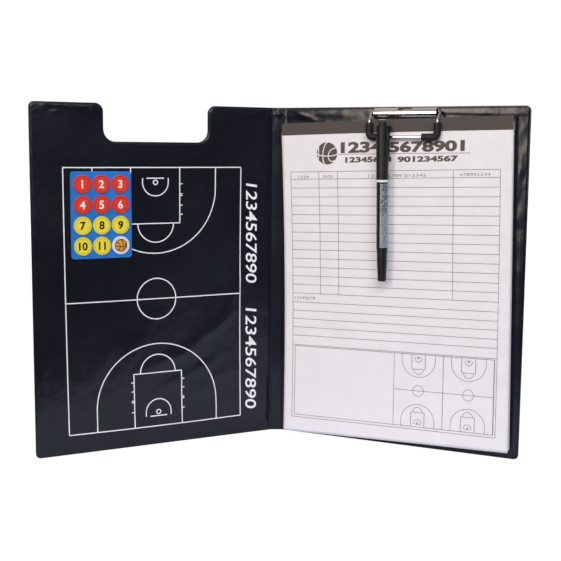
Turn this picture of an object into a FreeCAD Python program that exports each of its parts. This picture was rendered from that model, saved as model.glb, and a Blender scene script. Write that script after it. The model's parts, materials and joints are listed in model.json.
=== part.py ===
import FreeCAD, Part
import math
import os
import re
import Sketcher

# A folding coach's folder: two stiff welded vinyl covers on a narrow spine, standing open as an
# upright V. The left cover carries a magnetic court and counters, the right one a wire clip that
# holds a planner pad and a marker. The origin is the foot of the spine, midway between the creases;
# the covers open towards -Y.
#
# Each piece is drawn in the flat frame of the cover that carries it: X runs along the cover from
# its crease, Z up, and -Y out of the inner face, towards the reader. All sizes are millimetres and
# degrees.

SIZES = {
    # covers
    "leaf_height": 313.0,
    "leaf_width": 231.0,
    "spine_width": 12.5,
    "open_angle": 25.5,
    "skin_thickness": 0.5,
    "core_thickness": 2.8,
    "spine_core": 1.6,
    "rim_width": 2.0,
    "corner_radius": 5.0,
    "dome_round": 1.1,
    "spine_round": 0.6,
    "hinge_gap": 1.0,
    "hinge_reach": 2.4,
    "board_clearance": 0.15,
    "steel_thickness": 0.4,
    "steel_margin": 12.0,
    "notch_width": 99.0,
    "notch_depth": 33.5,
    "notch_offset": 0.5,
    "notch_mouth_radius": 7.5,
    "notch_root_radius": 11.0,
    # printed court
    "ink_thickness": 0.1,
    "line_width": 1.6,
    "court_foot": 18.5,
    "court_head_margin": 21.9,
    "court_near_margin": 33.7,
    "court_far_margin": 28.95,
    "centre_circle_radius": 18.7,
    "key_width": 46.5,
    "key_length": 50.4,
    "free_throw_radius": 17.0,
    "three_point_radius": 58.4,
    "three_point_run": 19.1,
    "hoop_distance": 13.3,
    "hoop_radius": 2.2,
    "backboard_distance": 9.6,
    "backboard_width": 16.5,
    "no_charge_radius": 12.2,
    "tick_length": 2.6,
    # magnet card and counters
    "card_side_margin": 2.35,
    "card_end_margin": 3.1,
    "card_thickness": 0.8,
    "card_corner": 3.0,
    "card_side_inset": 5.5,
    "card_head_inset": 4.1,
    "counter_diameter": 16.2,
    "counter_thickness": 1.0,
    "counter_round": 0.25,
    "column_gap": 1.0,
    "row_gap": 2.0,
    "groove_inset": 1.5,
    "groove_width": 0.5,
    "groove_depth": 0.15,
    # clip plate, rivets and bail
    "clip_offset": 5.5,
    "roll_margin": 6.4,
    "roll_diameter": 9.8,
    "roll_wrap": 300.0,
    "plate_thickness": 0.8,
    "plate_depth": 25.0,
    "plate_corner": 3.0,
    "clip_length": 58.0,
    "window_width": 13.0,
    "window_front": 3.9,
    "rivet_spacing": 38.0,
    "rivet_drop": 16.0,
    "rivet_diameter": 4.0,
    "rivet_bore": 2.4,
    "rivet_head_diameter": 7.5,
    "rivet_head_thickness": 0.6,
    "rivet_rim_diameter": 5.6,
    "rivet_rim_thickness": 0.7,
    "rivet_clearance": 0.1,
    "washer_diameter": 9.5,
    "washer_thickness": 0.7,
    "wire_diameter": 2.8,
    "bail_side_clearance": 1.1,
    "bail_drop": 21.0,
    "bail_leg_rise": 1.5,
    "bail_shoulder_drop": 6.4,
    "bail_shoulder_bend": 4.0,
    "bail_corner": 3.7,
    "bail_bend": 2.8,
    "crank_run": 6.0,
    "crank_length": 9.0,
    "crank_bend": 6.0,
    "roll_clearance": 0.12,
    "sleeve_diameter": 6.6,
    "sleeve_rise": 12.7,
    "sleeve_run_left": 10.2,
    "sleeve_run_right": 14.0,
    "sleeve_clearance": 0.05,
    "sleeve_round": 0.8,
    "clamp_clearance": 0.05,
    # planner pad
    "pad_width": 216.0,
    "pad_height": 297.0,
    "pad_margin": 4.95,
    "pad_top_clearance": 0.95,
    "pad_skew": 1.05,
    "backing_thickness": 1.2,
    "stack_thickness": 6.3,
    "paper_thickness": 0.1,
    "tape_thickness": 0.25,
    "tape_height": 11.8,
    # marker
    "pen_offset": 4.8,
    "pen_tilt": 1.0,
    "pen_rise": 13.7,
    "pen_gap": 0.25,
    "pen_clearance": 0.15,
    "cap_diameter": 10.8,
    "cap_length": 51.7,
    "cap_wall": 1.1,
    "cap_chamfer": 0.7,
    "plug_diameter": 7.2,
    "plug_height": 3.4,
    "pocket_turn": 10.0,
    "pocket_root_span": 48.0,
    "pocket_span": 23.0,
    "pocket_length": 30.0,
    "pocket_root_height": 4.5,
    "pocket_clearance": 0.15,
    "pocket_back_clearance": 0.45,
    "collar_width": 2.0,
    "collar_diameter": 10.4,
    "barrel_diameter": 10.0,
    "barrel_length": 60.3,
    "barrel_bore": 6.6,
    "neck_clearance": 0.2,
    "neck_length": 12.0,
    "fine_neck_diameter": 6.8,
    "fine_neck_length": 9.0,
    "fine_bore": 5.0,
    "label_thickness": 0.08,
    "label_margin": 1.5,
    "label_span": 290.0,
    "label_turn": 50.0,
    "end_cap_length": 29.1,
    "end_cap_diameter": 9.4,
    "end_cap_waist": 8.7,
    "end_cap_foot": 7.6,
    "end_cap_step": 0.25,
    "end_cap_skirt": 17.0,
    "end_cap_wall": 1.0,
    "holder_flange": 1.0,
    "holder_spigot": 5.0,
    "holder_nose": 6.0,
    "holder_nose_diameter": 5.2,
    "fine_nose_diameter": 2.6,
    "tip_diameter": 3.2,
    "tip_length": 4.0,
    "tip_flat": 1.6,
    "fine_tip_diameter": 1.2,
    "fine_tip_length": 2.2,
    "fine_tip_flat": 0.5,
    # how far a cutting shape runs past the solid
    "overrun": 1.0,
}

# places of the rebound ticks along the key, as shares of the key's length
TICK_SHARES = (0.295, 0.49, 0.68, 0.845)
# the tick that is a wider block, and its width as a share of a line's
BLOCK_TICK = 2
BLOCK_WIDTH_SHARE = 1.8

# how the counters lie on the card
COLUMNS = 3
ROWS = 4

# how near counts as touching, and how far a rod's volume may be from section times length
TOUCH = 0.001
ROD_VOLUME_SHARE = 0.01

DOC = FreeCAD.newDocument("TacticsBoard")
X_AXIS = FreeCAD.Vector(1, 0, 0)
Y_AXIS = FreeCAD.Vector(0, 1, 0)
Z_AXIS = FreeCAD.Vector(0, 0, 1)

NODES = []


def make_sheet():
    """Put the driving sizes in a spreadsheet, one alias each."""
    sheet = DOC.addObject("Spreadsheet::Sheet", "Sizes")
    for row, (name, amount) in enumerate(SIZES.items(), start=1):
        sheet.set(f"A{row}", name)
        sheet.set(f"B{row}", str(amount))
        sheet.setAlias(f"B{row}", name)
    DOC.recompute()
    return sheet


SHEET = make_sheet()


def bound(formula):
    """The formula with each size's name pointing at its cell."""
    def cell(word):
        return f"Sizes.{word.group()}" if word.group() in SIZES else word.group()
    return re.sub(r"[a-z][a-z_]*", cell, formula)


def size(formula):
    """The formula's value, as a plain number."""
    found = SHEET.evalExpression(formula)
    return float(getattr(found, "Value", found))


def vector(x, y, z):
    return FreeCAD.Vector(size(x), size(y), size(z))


def shift(x="0", y="0", z="0", axis=Z_AXIS, turn="0"):
    """A placement from formulas: a move, after a turn about one axis."""
    return FreeCAD.Placement(vector(x, y, z), FreeCAD.Rotation(axis, size(turn)))


# Sizes that several pieces share, each a formula of the driving ones.
LEAF_HALF = "(core_thickness / 2 + skin_thickness)"
SPINE_HALF = "(spine_core / 2 + skin_thickness)"
ROLL_BORE = "(roll_diameter / 2 - plate_thickness)"
ROLL_OUT = f"({LEAF_HALF} + roll_diameter / 2)"
PAD_SEAT = f"({LEAF_HALF} + plate_thickness + rivet_head_thickness)"
BACKING_OUT = f"({PAD_SEAT} + tape_thickness)"
STACK_OUT = f"({BACKING_OUT} + backing_thickness)"
SHEET_OUT = f"({STACK_OUT} + stack_thickness)"
TAPE_OUT = f"({SHEET_OUT} + paper_thickness)"
BAR_OUT = f"({TAPE_OUT} + tape_thickness + clamp_clearance + sleeve_diameter / 2)"
BAIL_RISE = f"({BAR_OUT} - {ROLL_OUT})"
CRANK = f"({ROLL_BORE} - wire_diameter / 2 - roll_clearance)"
PEN_OUT = f"({BAR_OUT} + wire_diameter / 2 + pen_gap + cap_diameter / 2)"
CAP_MOUTH = "(pen_rise - cap_length)"
BARREL_TOP = f"({CAP_MOUTH} - collar_width)"
BARREL_FOOT = f"({BARREL_TOP} - barrel_length)"
NECK_TOP = f"({CAP_MOUTH} + neck_length)"
FINE_FOOT = f"({BARREL_FOOT} - fine_neck_length)"
RIVET_BORE = "(rivet_diameter / 2 + rivet_clearance)"
NOTCH_REACH = "(leaf_width / 2 + notch_offset)"
COURT_HEAD = "(leaf_height - notch_depth - court_head_margin)"
COURT_FAR = "(leaf_width - court_far_margin)"
CARD_WIDTH = f"({COLUMNS} * counter_diameter + {COLUMNS - 1} * column_gap + 2 * card_side_margin)"
CARD_HEIGHT = f"({ROWS} * counter_diameter + {ROWS - 1} * row_gap + 2 * card_end_margin)"
CARD_REACH = f"({COURT_FAR} - card_side_inset - {CARD_WIDTH} / 2)"
CARD_RISE = f"({COURT_HEAD} - card_head_inset - {CARD_HEIGHT} / 2)"
CLIP_REACH = "(leaf_width / 2 + clip_offset)"
ROLL_HEIGHT = "(leaf_height - roll_margin)"
BAIL_LEG = "(clip_length / 2 + bail_side_clearance + wire_diameter / 2)"
PAD_RISE = f"({ROLL_HEIGHT} - roll_diameter / 2 - pad_top_clearance - pad_height / 2)"
PEN_REACH = f"({CLIP_REACH} - {BAIL_LEG} + sleeve_run_left + pen_offset)"
NECK = "(cap_diameter / 2 - cap_wall - neck_clearance)"
BAR_BEHIND = "(cap_diameter / 2 + pen_gap + wire_diameter)"
TAPE_BEHIND = f"({BAR_BEHIND} + (sleeve_diameter - wire_diameter) / 2 + clamp_clearance)"
POCKET_NEAR = f"(({BAR_BEHIND} + pocket_clearance) / cos(pocket_turn + pocket_span / 2))"
POCKET_THICKNESS = f"({TAPE_BEHIND} - pocket_back_clearance - {POCKET_NEAR})"

LEFT = shift(x="-spine_width / 2", turn="open_angle")
RIGHT = shift(x="spine_width / 2", turn="-open_angle")
SPINE = shift()
CLIP = RIGHT * shift(x=CLIP_REACH, y=f"-{ROLL_OUT}", z=ROLL_HEIGHT)
PAD = RIGHT * shift(x="pad_margin + pad_width / 2", z=PAD_RISE, axis=Y_AXIS, turn="-pad_skew")
CARD = LEFT * shift(x=f"-{CARD_REACH}", y=f"-{LEAF_HALF} - ink_thickness", z=CARD_RISE)
PEN = RIGHT * shift(x=PEN_REACH, y=f"-{PEN_OUT}", z=f"{ROLL_HEIGHT} - bail_drop",
                    axis=Y_AXIS, turn="-pen_tilt")


def node(piece, label, placement):
    """Name a finished sub-part and put it in its place."""
    piece.Label = label
    piece.Placement = placement
    NODES.append(piece)
    return piece


def new_body():
    return DOC.addObject("PartDesign::Body", "Body")


def new_sketch(body, plane, offset=None):
    """An empty sketch on one of the body's own planes, moved along its normal by a formula."""
    sketch = body.newObject("Sketcher::SketchObject", "Sketch")
    for feature in body.Origin.OriginFeatures:
        if feature.Role == plane:
            sketch.AttachmentSupport = [(feature, "")]
    sketch.MapMode = "FlatFace"
    if offset:
        sketch.setExpression("AttachmentOffset.Base.z", bound(offset))
    return sketch


def drive(sketch, kind, where, formula):
    """Add a dimension to a sketch and tie it to the sheet."""
    index = sketch.addConstraint(Sketcher.Constraint(kind, *where, size(formula)))
    name = f"size_{index}"
    sketch.renameConstraint(index, name)
    sketch.setExpression(f"Constraints.{name}", bound(formula))


def drive_place(sketch, axis, line, end, formula):
    """Tie one coordinate of a point to the sheet, measured from the sketch's origin."""
    along = size(formula)
    kind = f"Distance{axis}"
    if abs(along) < TOUCH:
        own_axis = -2 if axis == "X" else -1
        sketch.addConstraint(Sketcher.Constraint("PointOnObject", line, end, own_axis))
    elif along > 0:
        drive(sketch, kind, (-1, 1, line, end), formula)
    else:
        drive(sketch, kind, (line, end, -1, 1), f"-({formula})")


def outline(sketch, corners):
    """A closed outline of level and upright lines; each corner is (x, y, radius or None)."""
    spots = [FreeCAD.Vector(size(x), size(y), 0) for x, y, radius in corners]
    radii = [size(radius) if radius else 0.0 for x, y, radius in corners]
    count = len(spots)
    ways = [(spots[(i + 1) % count] - spots[i]).normalize() for i in range(count)]
    lines = []
    for i in range(count):
        after = (i + 1) % count
        begin = spots[i] + ways[i] * radii[i]
        finish = spots[after] - ways[i] * radii[after]
        lines.append(sketch.addGeometry(Part.LineSegment(begin, finish)))
    for i, line in enumerate(lines):
        level = abs(ways[i].y) < abs(ways[i].x)
        sketch.addConstraint(Sketcher.Constraint("Horizontal" if level else "Vertical", line))
        before = lines[i - 1]
        if radii[i]:
            round_corner(sketch, before, line, spots[i], ways[i - 1], ways[i], corners[i][2])
        else:
            sketch.addConstraint(Sketcher.Constraint("Coincident", before, 2, line, 1))
    for i, line in enumerate(lines):
        level = abs(ways[i].y) < abs(ways[i].x)
        drive_place(sketch, "Y" if level else "X", line, 1, corners[i][1] if level else corners[i][0])


def round_corner(sketch, before, line, spot, way_in, way_out, radius):
    """A tangent arc between two lines of an outline, turning left or right."""
    reach = size(radius)
    centre = spot - way_in * reach + way_out * reach
    left_turn = way_in.x * way_out.y - way_in.y * way_out.x > 0
    angles = [math.atan2(-way_out.y, -way_out.x), math.atan2(way_in.y, way_in.x)]
    if not left_turn:
        angles.reverse()
    if angles[1] < angles[0]:
        angles[1] += 2 * math.pi
    circle = Part.Circle(centre, Z_AXIS, reach)
    arc = sketch.addGeometry(Part.ArcOfCircle(circle, *angles))
    ends = (1, 2) if left_turn else (2, 1)
    sketch.addConstraint(Sketcher.Constraint("Tangent", before, 2, arc, ends[0]))
    sketch.addConstraint(Sketcher.Constraint("Tangent", arc, ends[1], line, 1))
    drive(sketch, "Radius", (arc,), radius)


def polygon(sketch, points):
    """A closed outline of straight lines through points given as formulas."""
    spots = [FreeCAD.Vector(size(x), size(y), 0) for x, y in points]
    count = len(spots)
    lines = [sketch.addGeometry(Part.LineSegment(spots[i], spots[(i + 1) % count])) for i in range(count)]
    for i, line in enumerate(lines):
        sketch.addConstraint(Sketcher.Constraint("Coincident", lines[i - 1], 2, line, 1))
    for line, (x, y) in zip(lines, points):
        drive_place(sketch, "X", line, 1, x)
        drive_place(sketch, "Y", line, 1, y)


def circles(sketch, centres, radius):
    """Equal circles at centres given as formulas."""
    for x, y in centres:
        spot = FreeCAD.Vector(size(x), size(y), 0)
        circle = sketch.addGeometry(Part.Circle(spot, Z_AXIS, size(radius)))
        drive(sketch, "Radius", (circle,), radius)
        drive_place(sketch, "X", circle, 3, x)
        drive_place(sketch, "Y", circle, 3, y)


def pad(body, sketch, length, back=False, both_ways=False):
    """Thicken a sketch, towards its normal unless back is set."""
    feature = body.newObject("PartDesign::Pad", "Pad")
    feature.Profile = sketch
    feature.Reversed = back
    if both_ways:
        feature.SideType = "Symmetric"
    feature.setExpression("Length", bound(length))
    DOC.recompute()
    return feature


def pocket(body, sketch, length, forward=False, both_ways=False):
    """Cut a sketch into the body, against its normal unless forward is set."""
    before = body.Shape.Volume
    feature = body.newObject("PartDesign::Pocket", "Pocket")
    feature.Profile = sketch
    feature.Reversed = forward
    if both_ways:
        feature.SideType = "Symmetric"
    feature.setExpression("Length", bound(length))
    DOC.recompute()
    assert body.Shape.Volume < before, "a pocket cut nothing"
    return feature


def revolve(body, sketch, span="360"):
    """Turn a sketch about its upright axis; less than a full turn is shared to both sides."""
    feature = body.newObject("PartDesign::Revolution", "Revolution")
    feature.Profile = sketch
    feature.ReferenceAxis = (sketch, ["V_Axis"])
    feature.Midplane = True
    feature.setExpression("Angle", bound(span))
    DOC.recompute()
    return feature


def groove(body, sketch):
    """Cut a full turn of a sketch about its upright axis."""
    before = body.Shape.Volume
    feature = body.newObject("PartDesign::Groove", "Groove")
    feature.Profile = sketch
    feature.ReferenceAxis = (sketch, ["V_Axis"])
    feature.setExpression("Angle", bound("360"))
    DOC.recompute()
    assert body.Shape.Volume < before, "a groove cut nothing"
    return feature


def round_edges(body, base, radius, chosen):
    """Fillet the edges of the last feature that a test picks."""
    names = [f"Edge{i}" for i, edge in enumerate(base.Shape.Edges, start=1) if chosen(edge)]
    feature = body.newObject("PartDesign::Fillet", "Fillet")
    feature.Base = (base, names)
    feature.setExpression("Radius", bound(radius))
    DOC.recompute()
    return feature


def lies_at(edge, axis, level):
    """Whether an edge lies in the plane where one coordinate has a given value."""
    box = edge.BoundBox
    ends = (getattr(box, f"{axis}Min"), getattr(box, f"{axis}Max"))
    return max(abs(end - level) for end in ends) < TOUCH


# Covers and spine


def leaf_corners(side, near, inset, notched):
    """A cover's outline, drawn in from its edges by inset and from its crease by near."""
    far = f"leaf_width - ({inset})"
    top = f"leaf_height - ({inset})"
    convex = f"corner_radius - ({inset})"
    points = [(near, inset, None), (far, inset, convex), (far, top, convex)]
    if notched:
        wall = f"notch_width / 2 + ({inset})"
        floor = f"leaf_height - notch_depth - ({inset})"
        mouth = f"notch_mouth_radius - ({inset})"
        root = f"notch_root_radius + ({inset})"
        points += [(f"{NOTCH_REACH} + {wall}", top, mouth), (f"{NOTCH_REACH} + {wall}", floor, root),
                   (f"{NOTCH_REACH} - ({wall})", floor, root), (f"{NOTCH_REACH} - ({wall})", top, mouth)]
    points.append((near, top, None))
    return [(f"{side} * ({x})", y, radius) for x, y, radius in points]


def spine_corners(near, inset):
    """The spine's outline, drawn in from its creases by near and from its ends by inset."""
    edge = f"spine_width / 2 - ({near})"
    top = f"leaf_height - ({inset})"
    points = [(f"-({edge})", inset), (edge, inset), (edge, top), (f"-({edge})", top)]
    return [(x, z, None) for x, z in points]


def skin(label, placement, corners, half, core, round_radius, inner):
    """One formed skin: a flat weld rim, a raised dome, and the hollow that holds the stiffener."""
    body = new_body()
    rim = new_sketch(body, "XZ_Plane")
    outline(rim, corners("hinge_gap", "0"))
    pad(body, rim, "skin_thickness", back=not inner)
    dome = new_sketch(body, "XZ_Plane")
    outline(dome, corners("hinge_reach", "rim_width"))
    raised = pad(body, dome, half, back=not inner)
    level = -size(half) if inner else size(half)
    round_edges(body, raised, round_radius, lambda edge: lies_at(edge, "Y", level))
    hollow = new_sketch(body, "XZ_Plane")
    outline(hollow, corners("hinge_reach + skin_thickness", "rim_width + skin_thickness"))
    pocket(body, hollow, f"{core} / 2", forward=inner)
    return node(body, label, placement)


def stiffener(label, placement, corners, core, thickness):
    """A board that fills the hollow between two skins, from the outer skin inwards."""
    body = new_body()
    sketch = new_sketch(body, "XZ_Plane", f"-{core} / 2")
    outline(sketch, corners("hinge_reach + skin_thickness + board_clearance",
                            "rim_width + skin_thickness + board_clearance"))
    pad(body, sketch, thickness)
    return node(body, label, placement)


def rivet_holes(body):
    """Two holes right through a piece of the right cover, for the clip's rivets."""
    sketch = new_sketch(body, "XZ_Plane")
    height = f"{ROLL_HEIGHT} - rivet_drop"
    spots = [(f"{CLIP_REACH} + {way} * rivet_spacing / 2", height) for way in (-1, 1)]
    circles(sketch, spots, RIVET_BORE)
    pocket(body, sketch, "2 * core_thickness + 2 * skin_thickness + overrun", both_ways=True)


def make_covers():
    def left(near, inset):
        return leaf_corners(-1, near, inset, True)

    def right(near, inset):
        return leaf_corners(1, near, inset, False)

    skin("left_outer_skin", LEFT, left, LEAF_HALF, "core_thickness", "dome_round", False)
    skin("left_inner_skin", LEFT, left, LEAF_HALF, "core_thickness", "dome_round", True)
    stiffener("left_board", LEFT, left, "core_thickness", "core_thickness - steel_thickness")
    pierced = [
        skin("right_outer_skin", RIGHT, right, LEAF_HALF, "core_thickness", "dome_round", False),
        skin("right_inner_skin", RIGHT, right, LEAF_HALF, "core_thickness", "dome_round", True),
        stiffener("right_board", RIGHT, right, "core_thickness", "core_thickness"),
    ]
    for body in pierced:
        rivet_holes(body)
    skin("spine_outer_skin", SPINE, spine_corners, SPINE_HALF, "spine_core", "spine_round", False)
    skin("spine_inner_skin", SPINE, spine_corners, SPINE_HALF, "spine_core", "spine_round", True)
    stiffener("spine_strip", SPINE, spine_corners, "spine_core", "spine_core")
    make_steel_sheet()
    for side, label in ((-1, "left_hinge_web"), (1, "right_hinge_web")):
        make_hinge_web(side, label)


def make_steel_sheet():
    """The tinplate behind the court, clear of the notch."""
    body = new_body()
    sketch = new_sketch(body, "XZ_Plane", "core_thickness / 2 - steel_thickness")
    near, far = "-steel_margin", "-(leaf_width - steel_margin)"
    low, high = "steel_margin", "leaf_height - notch_depth - steel_margin"
    outline(sketch, [(near, low, None), (near, high, None), (far, high, None), (far, low, None)])
    pad(body, sketch, "steel_thickness")
    node(body, "left_steel_sheet", LEFT)


def make_hinge_web(side, label):
    """A crease: both skins welded to one strip, bent at the hinge line by the opening angle."""
    body = new_body()
    sketch = new_sketch(body, "XY_Plane")
    mitre = "skin_thickness * tan(open_angle / 2)"
    out_x, out_y = "hinge_gap * cos(open_angle)", "-hinge_gap * sin(open_angle)"
    half_x, half_y = "skin_thickness * sin(open_angle)", "skin_thickness * cos(open_angle)"
    points = [("-hinge_gap", "skin_thickness"), ("-hinge_gap", "-skin_thickness"),
              (f"-{mitre}", "-skin_thickness"), (f"{out_x} - {half_x}", f"{out_y} - {half_y}"),
              (f"{out_x} + {half_x}", f"{out_y} + {half_y}"), (mitre, "skin_thickness")]
    polygon(sketch, [(f"{side} * ({x})", y) for x, y in points])
    pad(body, sketch, "leaf_height")
    node(body, label, shift(x=f"{side} * spine_width / 2"))


# Printed court


def ink_bar(x0, z0, x1, z1):
    """A straight line of ink along X or Z, with square ends half a line past its end points."""
    half = size("line_width / 2")
    low = FreeCAD.Vector(min(x0, x1) - half, 0, min(z0, z1) - half)
    return Part.makeBox(abs(x1 - x0) + 2 * half, size("ink_thickness"), abs(z1 - z0) + 2 * half, low)


def ink_ring(x, z, radius, upper=None):
    """A ring of ink, or only the half of it above or below its centre."""
    half = size("line_width / 2")
    deep = size("ink_thickness")
    centre = FreeCAD.Vector(x, 0, z)
    ring = Part.makeCylinder(radius + half, deep, centre, Y_AXIS)
    ring = ring.cut(Part.makeCylinder(radius - half, deep, centre, Y_AXIS))
    if upper is None:
        return ring
    span = 2 * (radius + half)
    corner = FreeCAD.Vector(x - span / 2, 0, z if upper else z - span)
    return ring.common(Part.makeBox(span, deep, span, corner))


def half_court(middle, base, way):
    """The lines of one basket, measured from its base line inwards: way is 1 up or -1 down."""
    upper = way > 0
    key = size("key_width / 2")
    key_end = base + way * size("key_length")
    wide = size("three_point_radius")
    bend = base + way * size("three_point_run")
    hoop = base + way * size("hoop_distance")
    board = base + way * size("backboard_distance")
    board_half = size("backboard_width / 2")
    charge = size("no_charge_radius")
    strokes = [
        ink_bar(middle - key, key_end, middle + key, key_end),
        ink_ring(middle, key_end, size("free_throw_radius"), upper),
        ink_ring(middle, bend, wide, upper),
        ink_ring(middle, hoop, charge, upper),
        ink_ring(middle, hoop, size("hoop_radius")),
        ink_bar(middle - board_half, board, middle + board_half, board),
    ]
    for side in (-1, 1):
        strokes.append(ink_bar(middle + side * key, base, middle + side * key, key_end))
        strokes.append(ink_bar(middle + side * wide, base, middle + side * wide, bend))
        strokes.append(ink_bar(middle + side * charge, board, middle + side * charge, hoop))
        for number, share in enumerate(TICK_SHARES):
            start = middle + side * key
            finish = start + side * size("tick_length")
            deep = size("line_width") * (BLOCK_WIDTH_SHARE - 1) / 2 if number == BLOCK_TICK else 0.0
            level = base + way * share * size("key_length")
            strokes.append(ink_bar(start, level - deep, finish, level + deep))
    return strokes


def make_court_print():
    """The court's white lines, as one thin layer on the left cover's inner face."""
    near, far = size("court_near_margin"), size(COURT_FAR)
    half = (far - near) / 2
    middle = -(far + near) / 2
    foot, head = size("court_foot"), size(COURT_HEAD)
    waist = (foot + head) / 2
    strokes = [ink_bar(middle - half, level, middle + half, level) for level in (foot, waist, head)]
    strokes += [ink_bar(middle + side * half, foot, middle + side * half, head) for side in (-1, 1)]
    strokes.append(ink_ring(middle, waist, size("centre_circle_radius")))
    strokes += half_court(middle, foot, 1) + half_court(middle, head, -1)
    piece = DOC.addObject("Part::Feature", "CourtPrint")
    piece.Shape = strokes[0].multiFuse(strokes[1:]).removeSplitter()
    node(piece, "court_print", LEFT * shift(y=f"-{LEAF_HALF} - ink_thickness"))


# Magnet card and counters


def make_card():
    body = new_body()
    sketch = new_sketch(body, "XZ_Plane")
    wide, tall = f"{CARD_WIDTH} / 2", f"{CARD_HEIGHT} / 2"
    corners = [(f"-{wide}", f"-{tall}"), (wide, f"-{tall}"), (wide, tall), (f"-{wide}", tall)]
    outline(sketch, [(x, z, "card_corner") for x, z in corners])
    pad(body, sketch, "card_thickness")
    node(body, "magnet_card", CARD)


def make_counter(label, column, row):
    """A round counter, drawn about the upright axis and laid face out on the card."""
    body = new_body()
    disc = new_sketch(body, "XZ_Plane")
    rim = "counter_diameter / 2"
    outline(disc, [("0", "0", None), (rim, "0", None), (rim, "counter_thickness", "counter_round"),
                   ("0", "counter_thickness", None)])
    revolve(body, disc)
    ring = new_sketch(body, "XZ_Plane")
    near, far = f"{rim} - groove_inset - groove_width / 2", f"{rim} - groove_inset + groove_width / 2"
    low, high = "counter_thickness - groove_depth", "counter_thickness + overrun"
    outline(ring, [(near, low, None), (far, low, None), (far, high, None), (near, high, None)])
    groove(body, ring)
    across = f"{column - (COLUMNS - 1) / 2} * (counter_diameter + column_gap)"
    up = f"{(ROWS - 1) / 2 - row} * (counter_diameter + row_gap)"
    node(body, label, CARD * shift(x=across, y="-card_thickness", z=up, axis=X_AXIS, turn="90"))


def make_counters():
    for number in range(ROWS * COLUMNS):
        last = number == ROWS * COLUMNS - 1
        label = "counter_ball" if last else f"counter_{number + 1:02d}"
        make_counter(label, number % COLUMNS, number // COLUMNS)


# Clip


def make_clip_base():
    """The spring plate: flat under the pad, its top edge rolled forward into a barrel."""
    body = new_body()
    sketch = new_sketch(body, "YZ_Plane")
    far, near = size("roll_diameter / 2"), size(ROLL_BORE)
    foot = -size("plate_depth")
    wrap = math.radians(size("roll_wrap"))
    origin = FreeCAD.Vector(0, 0, 0)
    outer = sketch.addGeometry(Part.ArcOfCircle(Part.Circle(origin, Z_AXIS, far), 0, wrap))
    inner = sketch.addGeometry(Part.ArcOfCircle(Part.Circle(origin, Z_AXIS, near), 0, wrap))
    way = FreeCAD.Vector(math.cos(wrap), math.sin(wrap), 0)
    lip = sketch.addGeometry(Part.LineSegment(way * far, way * near))
    spots = [FreeCAD.Vector(near, 0, 0), FreeCAD.Vector(near, foot, 0), FreeCAD.Vector(far, foot, 0),
             FreeCAD.Vector(far, 0, 0)]
    front, bottom, back = [sketch.addGeometry(Part.LineSegment(a, b)) for a, b in zip(spots, spots[1:])]
    joints = [("Coincident", outer, 3, -1, 1), ("Coincident", inner, 3, -1, 1),
              ("Coincident", outer, 2, lip, 1), ("Coincident", lip, 2, inner, 2),
              ("Coincident", inner, 1, front, 1), ("Coincident", front, 2, bottom, 1),
              ("Coincident", bottom, 2, back, 1), ("Coincident", back, 2, outer, 1),
              ("PointOnObject", outer, 1, -1), ("PointOnObject", inner, 1, -1),
              ("PointOnObject", -1, 1, lip), ("Vertical", front), ("Vertical", back),
              ("Horizontal", bottom)]
    for joint in joints:
        sketch.addConstraint(Sketcher.Constraint(*joint))
    drive(sketch, "Radius", (outer,), "roll_diameter / 2")
    drive(sketch, "Radius", (inner,), ROLL_BORE)
    drive(sketch, "DistanceY", (bottom, 1, -1, 1), "plate_depth")
    drive_place(sketch, "Y", lip, 1, "sin(roll_wrap) * roll_diameter / 2")
    plate = pad(body, sketch, "clip_length", both_ways=True)
    level = -size("plate_depth")
    round_edges(body, plate, "plate_corner",
                lambda edge: lies_at(edge, "Z", level) and edge.BoundBox.XLength < TOUCH)
    window = new_sketch(body, "XY_Plane")
    wide, front = "window_width / 2", "-window_front"
    back = "roll_diameter / 2 + overrun"
    corners = [(f"-{wide}", front), (wide, front), (wide, back), (f"-{wide}", back)]
    outline(window, [(x, y, None) for x, y in corners])
    pocket(body, window, "roll_diameter", forward=True)
    holes = new_sketch(body, "XZ_Plane")
    circles(holes, [(f"{way} * rivet_spacing / 2", "-rivet_drop") for way in (-1, 1)], RIVET_BORE)
    pocket(body, holes, "roll_diameter")
    node(body, "clip_base", CLIP)


def rivet_profile():
    """Half section of a tubular rivet along Z: flat head in front, rolled rim behind the washer."""
    front = "rivet_head_thickness"
    washer = f"-(plate_thickness + 2 * {LEAF_HALF})"
    seat = f"{washer} - washer_thickness"
    end = f"{seat} - rivet_rim_thickness"
    shank, bore = "rivet_diameter / 2", "rivet_bore / 2"
    head, rim = "rivet_head_diameter / 2", "rivet_rim_diameter / 2"
    return [("0", front), (head, front), (head, "0"), (shank, "0"), (shank, seat), (rim, seat),
            (rim, end), (bore, end), (bore, washer), ("0", washer)]


def washer_profile():
    """Half section of the washer behind the right cover, on the rivet's axis."""
    high = f"-(plate_thickness + 2 * {LEAF_HALF})"
    low = f"{high} - washer_thickness"
    edge = "washer_diameter / 2"
    return [(RIVET_BORE, high), (edge, high), (edge, low), (RIVET_BORE, low)]


def make_rivets():
    """Both rivets in one group and both washers in another, turned to stand out of the plate."""
    groups = (("clip_rivets", rivet_profile), ("rivet_washers", washer_profile))
    for label, profile in groups:
        pair = []
        for way in (-1, 1):
            body = new_body()
            sketch = new_sketch(body, "XZ_Plane")
            polygon(sketch, profile())
            revolve(body, sketch)
            body.Placement = shift(x=f"{way} * rivet_spacing / 2", y=ROLL_BORE, z="-rivet_drop",
                                   axis=X_AXIS, turn="90")
            pair.append(body)
        group = DOC.addObject("Part::Compound", "Group")
        group.Links = pair
        node(group, label, CLIP)


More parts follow.
